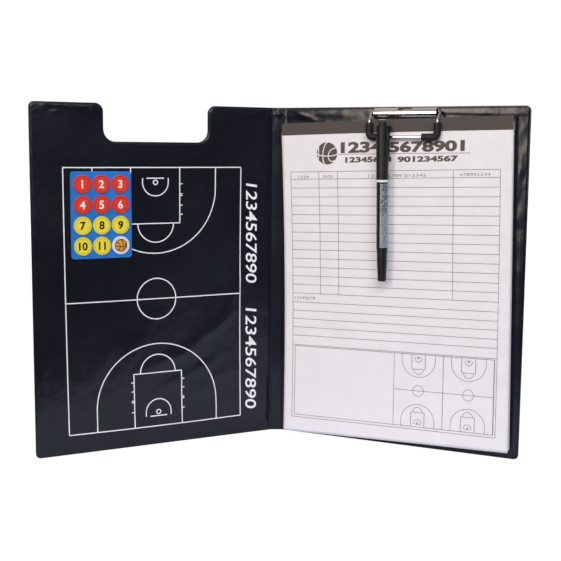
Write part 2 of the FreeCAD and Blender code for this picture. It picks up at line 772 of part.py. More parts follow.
def rounded_path(points, radii):
    """A wire of straight runs, with a tangent arc at each inner point."""
    edges = []
    here = points[0]
    for before, spot, after, radius in zip(points, points[1:], points[2:], radii):
        way_in = (spot - before).normalize()
        way_out = (after - spot).normalize()
        turn = way_in.getAngle(way_out)
        reach = radius * math.tan(turn / 2)
        begin, finish = spot - way_in * reach, spot + way_out * reach
        inward = (way_out - way_in).normalize()
        crest = spot + inward * (radius / math.cos(turn / 2) - radius)
        edges.append(Part.LineSegment(here, begin).toShape())
        edges.append(Part.Arc(begin, crest, finish).toShape())
        here = finish
    edges.append(Part.LineSegment(here, points[-1]).toShape())
    return Part.Wire(edges)


def sweep(path, diameter):
    """A round rod along a path, its section tied to the sheet."""
    spine = DOC.addObject("Part::Feature", "Path")
    spine.Shape = path
    first = path.Edges[0]
    start = first.valueAt(first.FirstParameter)
    way = first.tangentAt(first.FirstParameter)
    section = DOC.addObject("Part::Circle", "Section")
    section.setExpression("Radius", bound(f"({diameter}) / 2"))
    section.Placement = FreeCAD.Placement(start, FreeCAD.Rotation(Z_AXIS, way))
    rod = DOC.addObject("Part::Sweep", "Rod")
    rod.Sections = [section]
    rod.Spine = (spine, [])
    rod.Solid = True
    DOC.recompute()
    expected = math.pi * size(f"({diameter}) / 2") ** 2 * path.Length
    assert abs(rod.Shape.Volume / expected - 1) < ROD_VOLUME_SHARE, "a rod came out with the wrong volume"
    return rod


def bail_points():
    """The bail's centre line from the roll's axis, from one cranked end round the bar to the other."""
    leg = BAIL_LEG
    crank_out = f"{leg} - bail_bend - crank_run"
    crank_in = f"{crank_out} - crank_length"
    inner_end = f"{crank_in} - crank_run"
    half = [(inner_end, "0", f"-{CRANK}"), (crank_in, "0", f"-{CRANK}"), (crank_out, "0", "bail_leg_rise"),
            (leg, "0", "bail_leg_rise"), (leg, f"-{BAIL_RISE}", "-bail_shoulder_drop"),
            (leg, f"-{BAIL_RISE}", "-bail_drop")]
    right = [vector(x, y, z) for x, y, z in half]
    return [FreeCAD.Vector(-spot.x, spot.y, spot.z) for spot in right] + right[::-1]


def make_bail():
    """The wire bail: a bar on the pad, legs that arch over the pad's edge, ends cranked in the roll."""
    bends = ("crank_bend", "crank_bend", "bail_bend", "bail_shoulder_bend", "bail_corner")
    radii = [size(name) for name in bends]
    rod = sweep(rounded_path(bail_points(), radii + radii[::-1]), "wire_diameter")
    node(rod, "clip_bail", CLIP)


def make_sleeves():
    """A PVC sleeve round each lower corner of the bail."""
    corners = ((-1, "bail_sleeve_left", "sleeve_run_left"), (1, "bail_sleeve_right", "sleeve_run_right"))
    for side, label, run in corners:
        leg = f"{side} * {BAIL_LEG}"
        out = f"-{BAIL_RISE}"
        points = [vector(leg, out, "sleeve_rise - bail_drop"), vector(leg, out, "-bail_drop"),
                  vector(f"{leg} - {side} * {run}", out, "-bail_drop")]
        path = rounded_path(points, [size("bail_corner")])
        rod = sweep(path, "sleeve_diameter")
        ends = []
        for number, edge in enumerate(rod.Shape.Edges, start=1):
            gaps = [(edge.CenterOfMass - spot).Length for spot in (points[0], points[2])]
            if edge.Closed and min(gaps) < TOUCH:
                ends.append(number)
        soft = DOC.addObject("Part::Fillet", "SoftRod")
        soft.Base = rod
        radius = size("sleeve_round")
        soft.Edges = [(i, radius, radius) for i in ends]
        bore = sweep(path, "wire_diameter + 2 * sleeve_clearance")
        sleeve = DOC.addObject("Part::Cut", "Sleeve")
        sleeve.Base = soft
        sleeve.Tool = bore
        DOC.recompute()
        node(sleeve, label, CLIP)


# Planner pad


def make_pad_block(label, out, thickness, top):
    """One flat layer of the pad, drawn about the pad's middle; out is its distance from the cover."""
    body = new_body()
    sketch = new_sketch(body, "XZ_Plane", out)
    wide, low = "pad_width / 2", "-pad_height / 2"
    corners = [(f"-{wide}", low), (wide, low), (wide, top), (f"-{wide}", top)]
    outline(sketch, [(x, z, None) for x, z in corners])
    pad(body, sketch, thickness)
    node(body, label, PAD)


def make_pad():
    under_tape = "pad_height / 2 - tape_thickness"
    make_pad_block("pad_backing", BACKING_OUT, "backing_thickness", under_tape)
    make_pad_block("pad_sheets", STACK_OUT, "stack_thickness", under_tape)
    make_pad_block("pad_top_sheet", SHEET_OUT, "paper_thickness", under_tape)
    body = new_body()
    sketch = new_sketch(body, "YZ_Plane")
    back, backing, paper = f"-{PAD_SEAT}", f"-{BACKING_OUT}", f"-{TAPE_OUT}"
    front = f"{paper} - tape_thickness"
    top, low = "pad_height / 2", "pad_height / 2 - tape_height"
    polygon(sketch, [(back, top), (back, low), (backing, low), (backing, under_tape), (paper, under_tape),
                     (paper, low), (front, low), (front, top)])
    pad(body, sketch, "pad_width", both_ways=True)
    node(body, "pad_tape", PAD)


# Marker, drawn on its axis with Z = 0 where it crosses the bail's bar


def turned(label, points, placement=PEN):
    """A turned piece of the marker from the half section given as formulas."""
    body = new_body()
    sketch = new_sketch(body, "XZ_Plane")
    polygon(sketch, points)
    revolve(body, sketch)
    return node(body, label, placement)


def make_pen_cap():
    """The cap: a hollow barrel with a plugged top and a moulded pocket clip."""
    outer, inner, plug = "cap_diameter / 2", "cap_diameter / 2 - cap_wall", "plug_diameter / 2"
    shoulder = "pen_rise - plug_height"
    ceiling = f"{shoulder} - cap_wall"
    cap = turned("pen_cap", [
        ("0", "pen_rise"), (f"{plug} - cap_chamfer", "pen_rise"), (plug, "pen_rise - cap_chamfer"),
        (plug, shoulder), (f"{outer} - cap_chamfer", shoulder), (outer, f"{shoulder} - cap_chamfer"),
        (outer, CAP_MOUTH), (inner, CAP_MOUTH), (inner, ceiling), ("0", ceiling)],
        PEN * shift(turn="90 - pocket_turn"))
    clip_near = POCKET_NEAR
    clip_far = f"{clip_near} + {POCKET_THICKNESS}"
    root_top = f"{shoulder} - cap_chamfer"
    root_low = f"{root_top} - pocket_root_height"
    tip = f"{root_top} - pocket_length"
    root = new_sketch(cap, "XZ_Plane")
    buried = f"{outer} - cap_wall / 2"
    outline(root, [(buried, root_low, None), (clip_far, root_low, None),
                   (clip_far, root_top, POCKET_THICKNESS), (buried, root_top, None)])
    revolve(cap, root, "pocket_root_span")
    tongue = new_sketch(cap, "XZ_Plane")
    inside = f"{root_low} + overrun"
    corners = [(clip_near, tip), (clip_far, tip), (clip_far, inside), (clip_near, inside)]
    outline(tongue, [(x, z, None) for x, z in corners])
    revolve(cap, tongue, "pocket_span")


def make_pen_barrel():
    """The barrel: a tube with a neck at each end for the two caps."""
    outer, bore = "barrel_diameter / 2", "barrel_bore / 2"
    neck, fine, fine_bore = NECK, "fine_neck_diameter / 2", "fine_bore / 2"
    turned("pen_barrel", [
        (bore, NECK_TOP), (neck, NECK_TOP), (neck, BARREL_TOP), (outer, BARREL_TOP), (outer, BARREL_FOOT),
        (fine, BARREL_FOOT), (fine, FINE_FOOT), (fine_bore, FINE_FOOT), (fine_bore, BARREL_FOOT),
        (bore, BARREL_FOOT)])
    turned("pen_collar", [
        (f"{neck} + pen_clearance", BARREL_TOP), ("collar_diameter / 2", BARREL_TOP),
        ("collar_diameter / 2", CAP_MOUTH), (f"{neck} + pen_clearance", CAP_MOUTH)])


def make_pen_label():
    """The printed label, wrapped most of the way round the barrel."""
    body = new_body()
    sketch = new_sketch(body, "XZ_Plane")
    near, far = "barrel_diameter / 2", "barrel_diameter / 2 + label_thickness"
    low, high = f"{BARREL_FOOT} + label_margin", f"{BARREL_TOP} - label_margin"
    outline(sketch, [(near, low, None), (far, low, None), (far, high, None), (near, high, None)])
    revolve(body, sketch, "label_span")
    node(body, "pen_label", PEN * shift(turn="label_turn"))


def make_pen_end_cap():
    """The lower cap: a straight skirt, a small step, then a taper to the foot."""
    mouth, step, foot = BARREL_FOOT, f"{BARREL_FOOT} - end_cap_skirt", f"{BARREL_FOOT} - end_cap_length"
    inner = "fine_neck_diameter / 2 + pen_clearance"
    floor = f"{foot} + end_cap_wall"
    turned("pen_end_cap", [
        (inner, mouth), ("end_cap_diameter / 2", mouth), ("end_cap_waist / 2", step),
        ("end_cap_waist / 2 - end_cap_step", step), ("end_cap_foot / 2", f"{foot} + cap_chamfer"),
        ("end_cap_foot / 2 - cap_chamfer", foot), ("0", foot), ("0", floor),
        ("fine_nose_diameter / 2 + pen_clearance", floor), (inner, step)])


def make_pen_insides():
    """The ink reservoir, and a holder and felt tip under each cap."""
    bore = "barrel_bore / 2 - pen_clearance"
    spigot_foot = f"{NECK_TOP} - holder_spigot"
    flange = f"{NECK_TOP} + holder_flange"
    nose = f"{flange} + holder_nose"
    tip = "tip_diameter / 2"
    turned("pen_tip_holder", [
        (tip, spigot_foot), (bore, spigot_foot), (bore, NECK_TOP), (NECK, NECK_TOP),
        (NECK, flange), ("holder_nose_diameter / 2", nose), (tip, nose)])
    turned("pen_tip", [
        ("0", spigot_foot), (tip, spigot_foot), (tip, f"{nose} + tip_flat"),
        (f"{tip} - tip_flat / 2", f"{nose} + tip_length"), ("0", f"{nose} + tip_length")])
    fine_spigot = f"{FINE_FOOT} + holder_spigot"
    fine_flange = f"{FINE_FOOT} - holder_flange"
    fine_nose = f"{fine_flange} - holder_nose"
    fine_tip, fine_bore = "fine_tip_diameter / 2", "fine_bore / 2 - pen_clearance"
    fine_point = f"{fine_nose} - fine_tip_length"
    turned("pen_fine_holder", [
        (fine_tip, fine_spigot), (fine_bore, fine_spigot), (fine_bore, FINE_FOOT),
        ("fine_neck_diameter / 2", FINE_FOOT), ("fine_neck_diameter / 2", fine_flange),
        ("fine_nose_diameter / 2", fine_nose), (fine_tip, fine_nose)])
    turned("pen_fine_tip", [
        ("0", fine_spigot), (fine_tip, fine_spigot), (fine_tip, f"{fine_nose} - fine_tip_flat"),
        (f"{fine_tip} - fine_tip_flat / 2", fine_point), ("0", fine_point)])
    turned("pen_reservoir", [
        ("0", BARREL_FOOT), (bore, BARREL_FOOT), (bore, spigot_foot), ("0", spigot_foot)])


def check_document():
    """Stop if any object failed, or if a sub-part has no valid shape."""
    for thing in DOC.Objects:
        assert not {"Invalid", "Error"} & set(thing.State), f"{thing.Name} {thing.Label} failed"
    for piece in NODES:
        assert not piece.Shape.isNull() and piece.Shape.isValid(), f"{piece.Label} has no valid shape"


def write_parts():
    os.makedirs("parts", exist_ok=True)
    for piece in NODES:
        piece.Shape.exportStep(f"parts/{piece.Label}.step")


make_covers()
make_court_print()
make_card()
make_counters()
make_clip_base()
make_rivets()
make_bail()
make_sleeves()
make_pad()
make_pen_cap()
make_pen_barrel()
make_pen_label()
make_pen_end_cap()
make_pen_insides()
DOC.recompute()
check_document()
write_parts()
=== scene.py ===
import json

import bmesh
import bpy
import numpy as np
from bpy.props import FloatProperty, FloatVectorProperty, PointerProperty
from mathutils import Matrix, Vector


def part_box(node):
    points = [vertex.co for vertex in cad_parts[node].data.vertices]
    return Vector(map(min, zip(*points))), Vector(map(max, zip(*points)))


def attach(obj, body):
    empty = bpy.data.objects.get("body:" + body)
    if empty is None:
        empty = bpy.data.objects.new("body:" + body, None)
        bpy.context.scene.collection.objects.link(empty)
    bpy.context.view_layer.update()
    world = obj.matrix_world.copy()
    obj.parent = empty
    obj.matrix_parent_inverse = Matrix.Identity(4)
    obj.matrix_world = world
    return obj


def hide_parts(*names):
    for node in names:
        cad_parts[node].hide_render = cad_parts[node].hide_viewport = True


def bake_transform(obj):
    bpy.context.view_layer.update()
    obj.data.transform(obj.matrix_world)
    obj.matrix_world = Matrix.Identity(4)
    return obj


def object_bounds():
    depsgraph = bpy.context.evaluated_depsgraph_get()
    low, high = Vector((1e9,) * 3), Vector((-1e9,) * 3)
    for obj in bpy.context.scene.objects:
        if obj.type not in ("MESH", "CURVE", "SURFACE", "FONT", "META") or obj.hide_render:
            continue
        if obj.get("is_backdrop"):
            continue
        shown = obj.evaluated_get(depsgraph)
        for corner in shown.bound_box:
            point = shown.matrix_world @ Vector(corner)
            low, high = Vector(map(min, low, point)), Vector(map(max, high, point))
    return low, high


bl_info = {
    "name": "Tactics board",
    "version": (1, 0, 0),
    "blender": (4, 5, 0),
    "location": "View3D > Sidebar > Tactics board",
    "description": "Dresses a folding tactics board: covers, court, counters, planner pad, clip and marker",
    "category": "Object",
}

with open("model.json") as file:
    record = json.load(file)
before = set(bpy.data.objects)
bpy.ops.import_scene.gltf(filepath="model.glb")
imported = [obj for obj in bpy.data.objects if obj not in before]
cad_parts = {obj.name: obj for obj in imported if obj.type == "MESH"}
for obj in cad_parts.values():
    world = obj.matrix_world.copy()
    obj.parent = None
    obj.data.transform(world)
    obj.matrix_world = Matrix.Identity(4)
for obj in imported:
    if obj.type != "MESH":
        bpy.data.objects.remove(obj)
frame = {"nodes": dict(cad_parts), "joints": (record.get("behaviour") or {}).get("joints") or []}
CAD_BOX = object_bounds()
JOINTS = {joint["name"]: joint for joint in frame["joints"]}
HAND = {-1: "left", 1: "right"}
MM = 0.001
INK = 0.05 * MM

# The two covers' own axes: out of the inner face, along the cover away from its crease, and up.
LEFT_OUT = np.array(JOINTS["card_lift"]["axis"], dtype=float)
UP = np.array((0.0, 0.0, 1.0))

# Softboxes: the way to each from the object, its distance, width and height, in metres.
LAMPS = (("key", (-0.551, -0.758, 0.326), 1.3, 0.30, 0.84), ("fill", (0.057, -0.817, 0.574), 1.4, 1.1, 0.60))


# Settings


def linear(code):
    """An sRGB hex colour as linear red, green, blue and alpha."""
    parts = np.array([int(code[at:at + 2], 16) for at in (1, 3, 5)]) / 255
    parts = np.where(parts <= 0.04045, parts / 12.92, ((parts + 0.055) / 1.055) ** 2.4)
    return (*parts.tolist(), 1.0)


def length(name, description, millimetres):
    """A length that a user may change, kept in metres."""
    return FloatProperty(name=name, description=description, default=millimetres * MM, precision=5,
                         subtype="DISTANCE", unit="LENGTH")


def turn(name, description, degrees):
    """An angle that a user may change, kept in radians."""
    return FloatProperty(name=name, description=description, default=float(np.radians(degrees)), precision=4,
                         subtype="ANGLE", unit="ROTATION")


def colour(name, description, code):
    """A colour that a user may change, kept in linear light."""
    return FloatVectorProperty(name=name, description=description, default=linear(code), size=4, min=0.0,
                               max=1.0, subtype="COLOR")


class CoverSettings(bpy.types.PropertyGroup):
    """Sizes and colours of the two vinyl covers and the spine between them."""
    width: length("Width", "Cover from its crease to its far edge", 231.0)
    height: length("Height", "Cover from foot to head", 313.0)
    half_thickness: length("Half thickness", "Middle plane to a cover's face", 1.9)
    rim_half: length("Rim half thickness", "Middle plane to the face of the welded rim", 0.5)
    rim_width: length("Rim width", "Welded rim round each cover", 1.2)
    flare: length("Rim flare", "How far the welded rim turns forward", 0.22)
    dome_run: length("Edge roll", "How far the face rolls off towards the rim", 0.7)
    corner: length("Corner radius", "Outer corners of a cover", 5.0)
    crease_gap: length("Crease gap", "Crease line to where a cover's skins begin", 1.0)
    crease_reach: length("Crease reach", "Crease line to where a cover's face begins to rise", 2.4)
    notch_middle: length("Notch middle", "Crease to the middle of the clip notch", 116.0)
    notch_width: length("Notch width", "Clip notch in the left cover's head", 99.0)
    notch_depth: length("Notch depth", "Clip notch below the left cover's head", 33.5)
    notch_root: length("Notch root radius", "Inner corners of the clip notch", 11.0)
    notch_mouth: length("Notch mouth radius", "Outer corners of the clip notch", 7.5)
    skin: length("Skin thickness", "Wall of a formed skin", 0.45)
    spine_half: length("Spine half width", "Middle of the spine to the edge of its skins", 5.25)
    spine_crown: length("Spine crown", "Middle plane to the crown of the spine", 0.85)
    vinyl_dark: colour("Vinyl, dark", "Darker tone of the navy-black PVC", "#12141B")
    vinyl_light: colour("Vinyl, light", "Lighter tone of the navy-black PVC", "#1B1E28")


class CourtSettings(bpy.types.PropertyGroup):
    """Sizes and colour of the court printed on the left cover."""
    foot: length("Foot", "Cover's foot to the lower base line", 18.5)
    head: length("Head", "Cover's foot to the upper base line", 256.8)
    near: length("Near line", "Crease to the near side line", 33.7)
    far: length("Far line", "Crease to the far side line", 202.05)
    line: length("Line width", "Width of every line of the court", 0.94)
    circle: length("Centre circle", "Radius of the centre circle", 18.7)
    key_half: length("Key half width", "Middle of the court to the side of the key", 23.25)
    key_length: length("Key length", "Base line to the free-throw line", 50.4)
    throw: length("Free-throw radius", "Arc over the free-throw line", 17.0)
    wide: length("Three-point radius", "Wide arc round each basket", 58.4)
    wide_run: length("Three-point run", "Straight part of the wide arc", 19.1)
    hoop_at: length("Hoop place", "Base line to the hoop's middle", 13.3)
    hoop: length("Hoop radius", "Ring of the hoop", 2.0)
    board_at: length("Backboard place", "Base line to the backboard", 9.6)
    board_half: length("Backboard half width", "Half of the backboard", 8.25)
    charge: length("Inner arc radius", "Small arc in front of the hoop", 12.2)
    tick: length("Tick length", "Marks along the key", 2.6)
    digit: length("Number height", "Tall numbers beside the court", 11.6)
    column: length("Number column", "Crease to the middle of the tall numbers", 22.3)
    bow: length("Bow", "How far the lower base line bows down in its middle", 0.6)
    sway_near: length("Sway, near", "How far the near side line bows away from the crease", 0.75)
    sway_far: length("Sway, far", "How far the far side line bows away from the crease", 0.38)
    ink: colour("Court ink", "White screen ink", "#FBFCFE")


class CounterSettings(bpy.types.PropertyGroup):
    """Sizes and colours of the magnet card and its counters."""
    digit: length("Digit height", "Numbers on the counters", 7.3)
    ball: length("Ball radius", "Ball on the plain counter", 5.3)
    card: colour("Card", "Blue magnet card", "#2279D2")
    red: colour("Red", "First side's counters", "#E23A25")
    yellow: colour("Yellow", "Second side's counters", "#F0E03C")
    white: colour("White", "Plain counter and numbers", "#F1F0EC")
    black: colour("Black", "Numbers on yellow, seams of the ball", "#171513")
    amber: colour("Amber", "Ball on the plain counter", "#E8A33A")


class PadSettings(bpy.types.PropertyGroup):
    """Sizes and colours of the planner pad."""
    width: length("Width", "Pad from side to side", 216.0)
    height: length("Height", "Pad from foot to head", 297.0)
    skew: turn("Skew", "How far the pad hangs out of true", 1.05)
    binding: length("Binding height", "Cloth strip over the pad's head", 11.9)
    under: length("Under the binding", "How far below its head the sheets end, out of sight", 3.0)
    trim: length("Trim", "How far the sheets end above the pad's full length, in the middle of its foot", 2.0)
    fan: turn("Fan", "How far the lowest sheet hangs past the top one", 0.12)
    curl: length("Curl", "Lift of the free lower corner", 0.9)
    line: length("Line width", "Ruled lines of the sheet", 0.5)
    ball: length("Ball radius", "Ball beside the sheet's title", 10.2)
    paper: colour("Paper", "Writing paper", "#ECEAEE")
    rule: colour("Ruling", "Ruled lines of the sheet", "#857B7D")
    heading: colour("Heading", "Dark numbers and ball at the head of the sheet", "#5A5249")
    tape: colour("Binding", "Cloth strip over the pad's head", "#58524C")
    greyboard: colour("Greyboard", "Backing card of the pad and core of the covers", "#8C8880")


class HardwareSettings(bpy.types.PropertyGroup):
    """Colours of the wire clip and the marker."""
    plating: colour("Plating", "Bright nickel plate of clip and bail", "#D9D7D3")
    sleeve: colour("Sleeve", "Black PVC sleeves of the bail", "#080908")
    cap: colour("Marker black", "Matte black caps and barrel", "#121310")
    collar: colour("Marker white", "White collar and tip holders", "#F2F2F0")
    film: colour("Label film", "Silver film round the barrel", "#9CA4AB")
    print: colour("Label print", "Dark marks on the film", "#3A3E44")


class StageSettings(bpy.types.PropertyGroup):
    """Camera, lights and floor."""
    camera_at: FloatVectorProperty(name="Camera place", description="Where the camera stands",
                                   subtype="TRANSLATION", unit="LENGTH",
                                   default=(-0.018666, -0.987545, 0.273716))
    camera_turn: FloatVectorProperty(name="Camera turn", description="How the camera is turned",
                                     subtype="EULER", unit="ROTATION",
                                     default=tuple(np.radians((82.7443, -0.465, -1.1884)).tolist()))
    lens: FloatProperty(name="Lens", description="Focal length in millimetres", default=65.997,
                        unit="CAMERA")
    key_power: FloatProperty(name="Key light", description="Tall softbox in front on the left", default=6.75,
                             unit="POWER")
    fill_power: FloatProperty(name="Fill light", description="Wide softbox high in front", default=13.6,
                              unit="POWER")
    key: colour("Key colour", "Warm light of the softbox", "#FFF2E4")
    fill: colour("Fill colour", "Light of the wide softbox", "#F7F5F8")
    sky: colour("Room, left", "Warm light from overhead on the left", "#DCD3C6")
    sky_cool: colour("Room, right", "Cool light from overhead on the right", "#8E9AB4")
    floor: colour("Floor", "White paper floor in cool light", "#CDD6E8")
    bench: colour("Bench", "Dark bench before the paper's front edge", "#17181B")


# Shapes


def on_cover(side, u, n, z):
    """Points of a cover from its own places: crease + u along it + n out of its inner face + z up."""
    out = LEFT_OUT * (1.0 if side < 0 else -1.0, 1.0, 1.0)
    along = np.array((-side * LEFT_OUT[1], -LEFT_OUT[0], 0.0))
    crease = np.array(JOINTS[f"{HAND[side]}_fold"]["pos_m"], dtype=float)
    u, n, z = (part[..., None] for part in np.broadcast_arrays(u, n, z))
    return crease + u * along + n * out + z * UP


def place_of(name, side):
    """A CAD node's middle along its cover, the height of that middle, and how far out its back and front
    stand."""
    mesh = frame["nodes"][name].data
    points = np.empty(len(mesh.vertices) * 3)
    mesh.vertices.foreach_get("co", points)
    points = points.reshape(-1, 3) - on_cover(side, 0.0, 0.0, 0.0)
    u = points @ (on_cover(side, 1.0, 0.0, 0.0) - on_cover(side, 0.0, 0.0, 0.0))
    n = points @ (on_cover(side, 0.0, 1.0, 0.0) - on_cover(side, 0.0, 0.0, 0.0))
    z = points[:, 2]
    return (u.min() + u.max()) / 2, (z.min() + z.max()) / 2, n.min(), n.max()


def grid_faces(rows, columns, round_rows=False, round_columns=False):
    """Quads between neighbouring places of a grid, and over its seam where it goes round."""
    index = np.arange(rows * columns).reshape(rows, columns)
    if round_rows:
        index = np.vstack([index, index[:1]])
    if round_columns:
        index = np.hstack([index, index[:, :1]])
    return np.stack([index[:-1, :-1], index[1:, :-1], index[1:, 1:], index[:-1, 1:]], axis=-1).reshape(-1, 4)


def tube_faces(rows, columns):
    """Quads round a tube, between neighbouring rows of its places, and a lid at each end."""
    lids = [list(range(columns)), list(range((rows - 1) * columns, rows * columns))]
    return grid_faces(rows, columns, False, True).tolist() + lids


def dress(name, points, faces, finish, slot, body=None, nodes=(), smooth=True, closed=True):
    """A mesh piece from whole arrays: it takes its finish, rides its body and stands for its CAD nodes."""
    mesh = bpy.data.meshes.new(name)
    mesh.from_pydata(np.asarray(points).reshape(-1, 3).tolist(), [], faces)
    if closed:
        work = bmesh.new()
        work.from_mesh(mesh)
        bmesh.ops.recalc_face_normals(work, faces=work.faces)
        work.to_mesh(mesh)
        work.free()
    mesh.polygons.foreach_set("use_smooth", np.full(len(mesh.polygons), smooth))
    mesh.materials.append(finish)
    made = bpy.data.objects.new(name, mesh)
    bpy.context.scene.collection.objects.link(made)
    if body:
        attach(made, body)
    if nodes:
        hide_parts(*nodes)
    return made


def smooth_step(share):
    """0 before, 1 after, and 3s^2 - 2s^3 between."""
    share = np.clip(share, 0.0, 1.0)
    return share * share * (3.0 - 2.0 * share)


# Distances from a cover's edge at which its grid is cut, in millimetres: close over the welded rim and the
# roll behind it.
EDGE = np.concatenate([(0, 0.1, 0.25, 0.5, 0.8, 1.15, 1.25, 1.45, 1.7, 1.92, 2.3, 2.8),
                       np.linspace(3.5, 14.0, 14)])


def graded(stops, near, coarse):
    """Places along a line: at the given distances from each stop, and between those evenly spaced and wider
    apart."""
    parts = []
    for low, high in zip(stops, stops[1:]):
        close = near[near < (high - low) / 2 - coarse / 4]
        count = int(np.ceil((high - low - 2 * close[-1]) / coarse)) + 1
        wide = np.linspace(low + close[-1], high - close[-1], count)
        parts += [low + close[:-1], wide, high - close[-2:0:-1]]
    return np.concatenate(parts + [[stops[-1]]])


# Covers

# Soft folds of the vinyl, in millimetres on the cover: from u, z to u, z, then width and height of the ridge.
LEFT_FOLDS = (
    (22, 168, 62, 96, 5.0, 0.75), (32, 128, 104, 74, 5.0, 0.75), (60, 96, 140, 66, 5.0, 0.60),
    (44, 82, 120, 50, 4.5, 0.60), (20, 72, 84, 44, 5.0, 0.50), (24, 44, 100, 20, 5.0, 0.40),
    (1, -2, 17, 34, 2.6, 0.60), (1, -2, 36, 17, 3.0, 0.50), (5, 6, 9, 70, 2.2, 0.40),
    (1, 315, 12, 284, 2.6, 0.30), (1, 315, 38, 299, 2.6, 0.30),
    (112, 124, 152, 82, 7.0, 0.22), (140, 104, 196, 56, 8.0, 0.22), (70, 14, 190, 13, 6.0, 0.25),
    (166, 308, 228, 309, 2.2, 0.30), (224, 20, 225, 290, 3.0, 0.22), (10, 307, 62, 308, 2.2, 0.25),
)
RIGHT_FOLDS = (
    (3, 315, 34, 299, 2.6, 0.75), (-30, 307.5, 80, 305.5, 4.5, 0.95), (120, 308, 250, 307, 2.2, 0.40),
    (227, 215, 226, 60, 2.2, 0.25), (224, 80, 227, 4, 2.0, 0.30), (1, -2, 30, 12, 3.0, 0.40),
    (4, 40, 5, 280, 2.2, 0.30), (20, 5, 200, 5, 2.4, 0.25),
)
OUTER_FOLDS = (
    (1, -2, 20, 36, 3.0, 0.35), (1, -2, 44, 16, 3.4, 0.30), (1, 315, 18, 280, 3.0, 0.35),
    (1, 315, 44, 300, 3.2, 0.30), (9, 30, 9, 280, 3.4, 0.25), (30, 120, 200, 150, 26.0, 0.18),
    (40, 220, 190, 190, 24.0, 0.16), (60, 60, 200, 70, 22.0, 0.15),
)


def crumples(seed, count, u_span, z_span, spans, widths, heights):
    """A table of short folds strewn over a strip of the cover: places, headings and sizes drawn evenly from
    spans."""
    draw = np.random.default_rng(seed).uniform
    u, z, half = draw(*u_span, count), draw(*z_span, count), draw(*spans, count) / 2
    heading = draw(0.0, np.pi, count)
    run, rise = half * np.cos(heading), half * np.sin(heading)
    ends = u - run, z - rise, u + run, z + rise
    return np.stack([*ends, draw(*widths, count), draw(*heights, count)], axis=1)


LEFT_CRUMPLES = np.vstack([
    LEFT_FOLDS,
    crumples(21, 16, (168, 228), (304, 311), (8, 26), (1.4, 2.4), (-0.30, 0.35)),
    crumples(22, 14, (222, 229), (14, 300), (16, 40), (1.8, 3.0), (-0.15, 0.15)),
    crumples(23, 9, (70, 162), (269, 277), (14, 34), (1.8, 3.0), (-0.25, 0.25)),
    crumples(24, 9, (4, 62), (303, 311), (10, 28), (1.6, 2.6), (-0.25, 0.30)),
])
RIGHT_CRUMPLES = np.vstack([
    RIGHT_FOLDS,
    crumples(7, 26, (219, 229), (196, 306), (10, 26), (2.2, 4.0), (-0.30, 0.30)),
    crumples(11, 30, (6, 226), (300, 311), (12, 34), (1.8, 3.2), (-0.30, 0.35)),
    crumples(5, 14, (219, 229), (6, 190), (12, 30), (2.4, 4.0), (-0.16, 0.16)),
])


def rounded(a, b, radius):
    """Signed distance to two walls at right angles whose outer corner is rounded with a radius."""
    a, b = a + radius, b + radius
    return np.hypot(np.maximum(a, 0.0), np.maximum(b, 0.0)) + np.minimum(np.maximum(a, b), 0.0) - radius


def past_edge(cover, side, u, z):
    """How far a place lies past a cover's outline: a box with round corners, less the notch on the left."""
    far, head = u - cover.width, z - cover.height
    past = np.maximum(rounded(far, head, cover.corner), rounded(far, -z, cover.corner))
    if side < 0:
        wall = np.abs(u - cover.notch_middle) - cover.notch_width / 2
        notch = rounded(wall, cover.height - cover.notch_depth - z, cover.notch_root)
        past = np.maximum(past, rounded(head, -notch, cover.notch_mouth))
    return past


def fold_height(u, z, table):
    """Sum of soft ridges: a bell across each ridge's line, fading out towards both of its ends."""
    total = np.zeros(np.broadcast(u, z).shape)
    for u0, z0, u1, z1, width, height in np.array(table) * MM:
        span = np.hypot(u1 - u0, z1 - z0)
        along = ((u - u0) * (u1 - u0) + (z - z0) * (z1 - z0)) / span ** 2
        across = ((u - u0) * (z1 - z0) - (z - z0) * (u1 - u0)) / span
        across = across + 0.35 * width * np.sin(along * 5.0 + u0 * 900.0)
        total += height * np.exp(-(across / width) ** 2) * np.clip(1.0 - (2.0 * along - 1.0) ** 2, 0.0, 1.0)
    return total


def cover_height(cover, side, u, z, table, flare):
    """Height of a skin over the middle plane: a thin welded rim with a round lip, turned over by flare at its
    edge, a face that rolls up from it as a quarter sine, and the folds of the vinyl, which fade out towards
    the rim."""
    inside = -past_edge(cover, side, u, z)
    lip = cover.rim_half * np.sqrt(1.0 - np.clip(1.0 - inside / cover.rim_half, 0.0, 1.0) ** 2)
    lip = lip + flare * np.clip(1.0 - inside / cover.rim_width, 0.0, 1.0)
    inside = np.minimum(inside, u - cover.crease_reach + cover.rim_width) - cover.rim_width
    roll = np.sin(np.pi / 2 * np.clip(inside / cover.dome_run, 0.0, 1.0))
    folds = fold_height(u, z, table) * smooth_step(inside / (1.4 * MM))
    return lip + (cover.half_thickness - cover.rim_half) * roll + folds


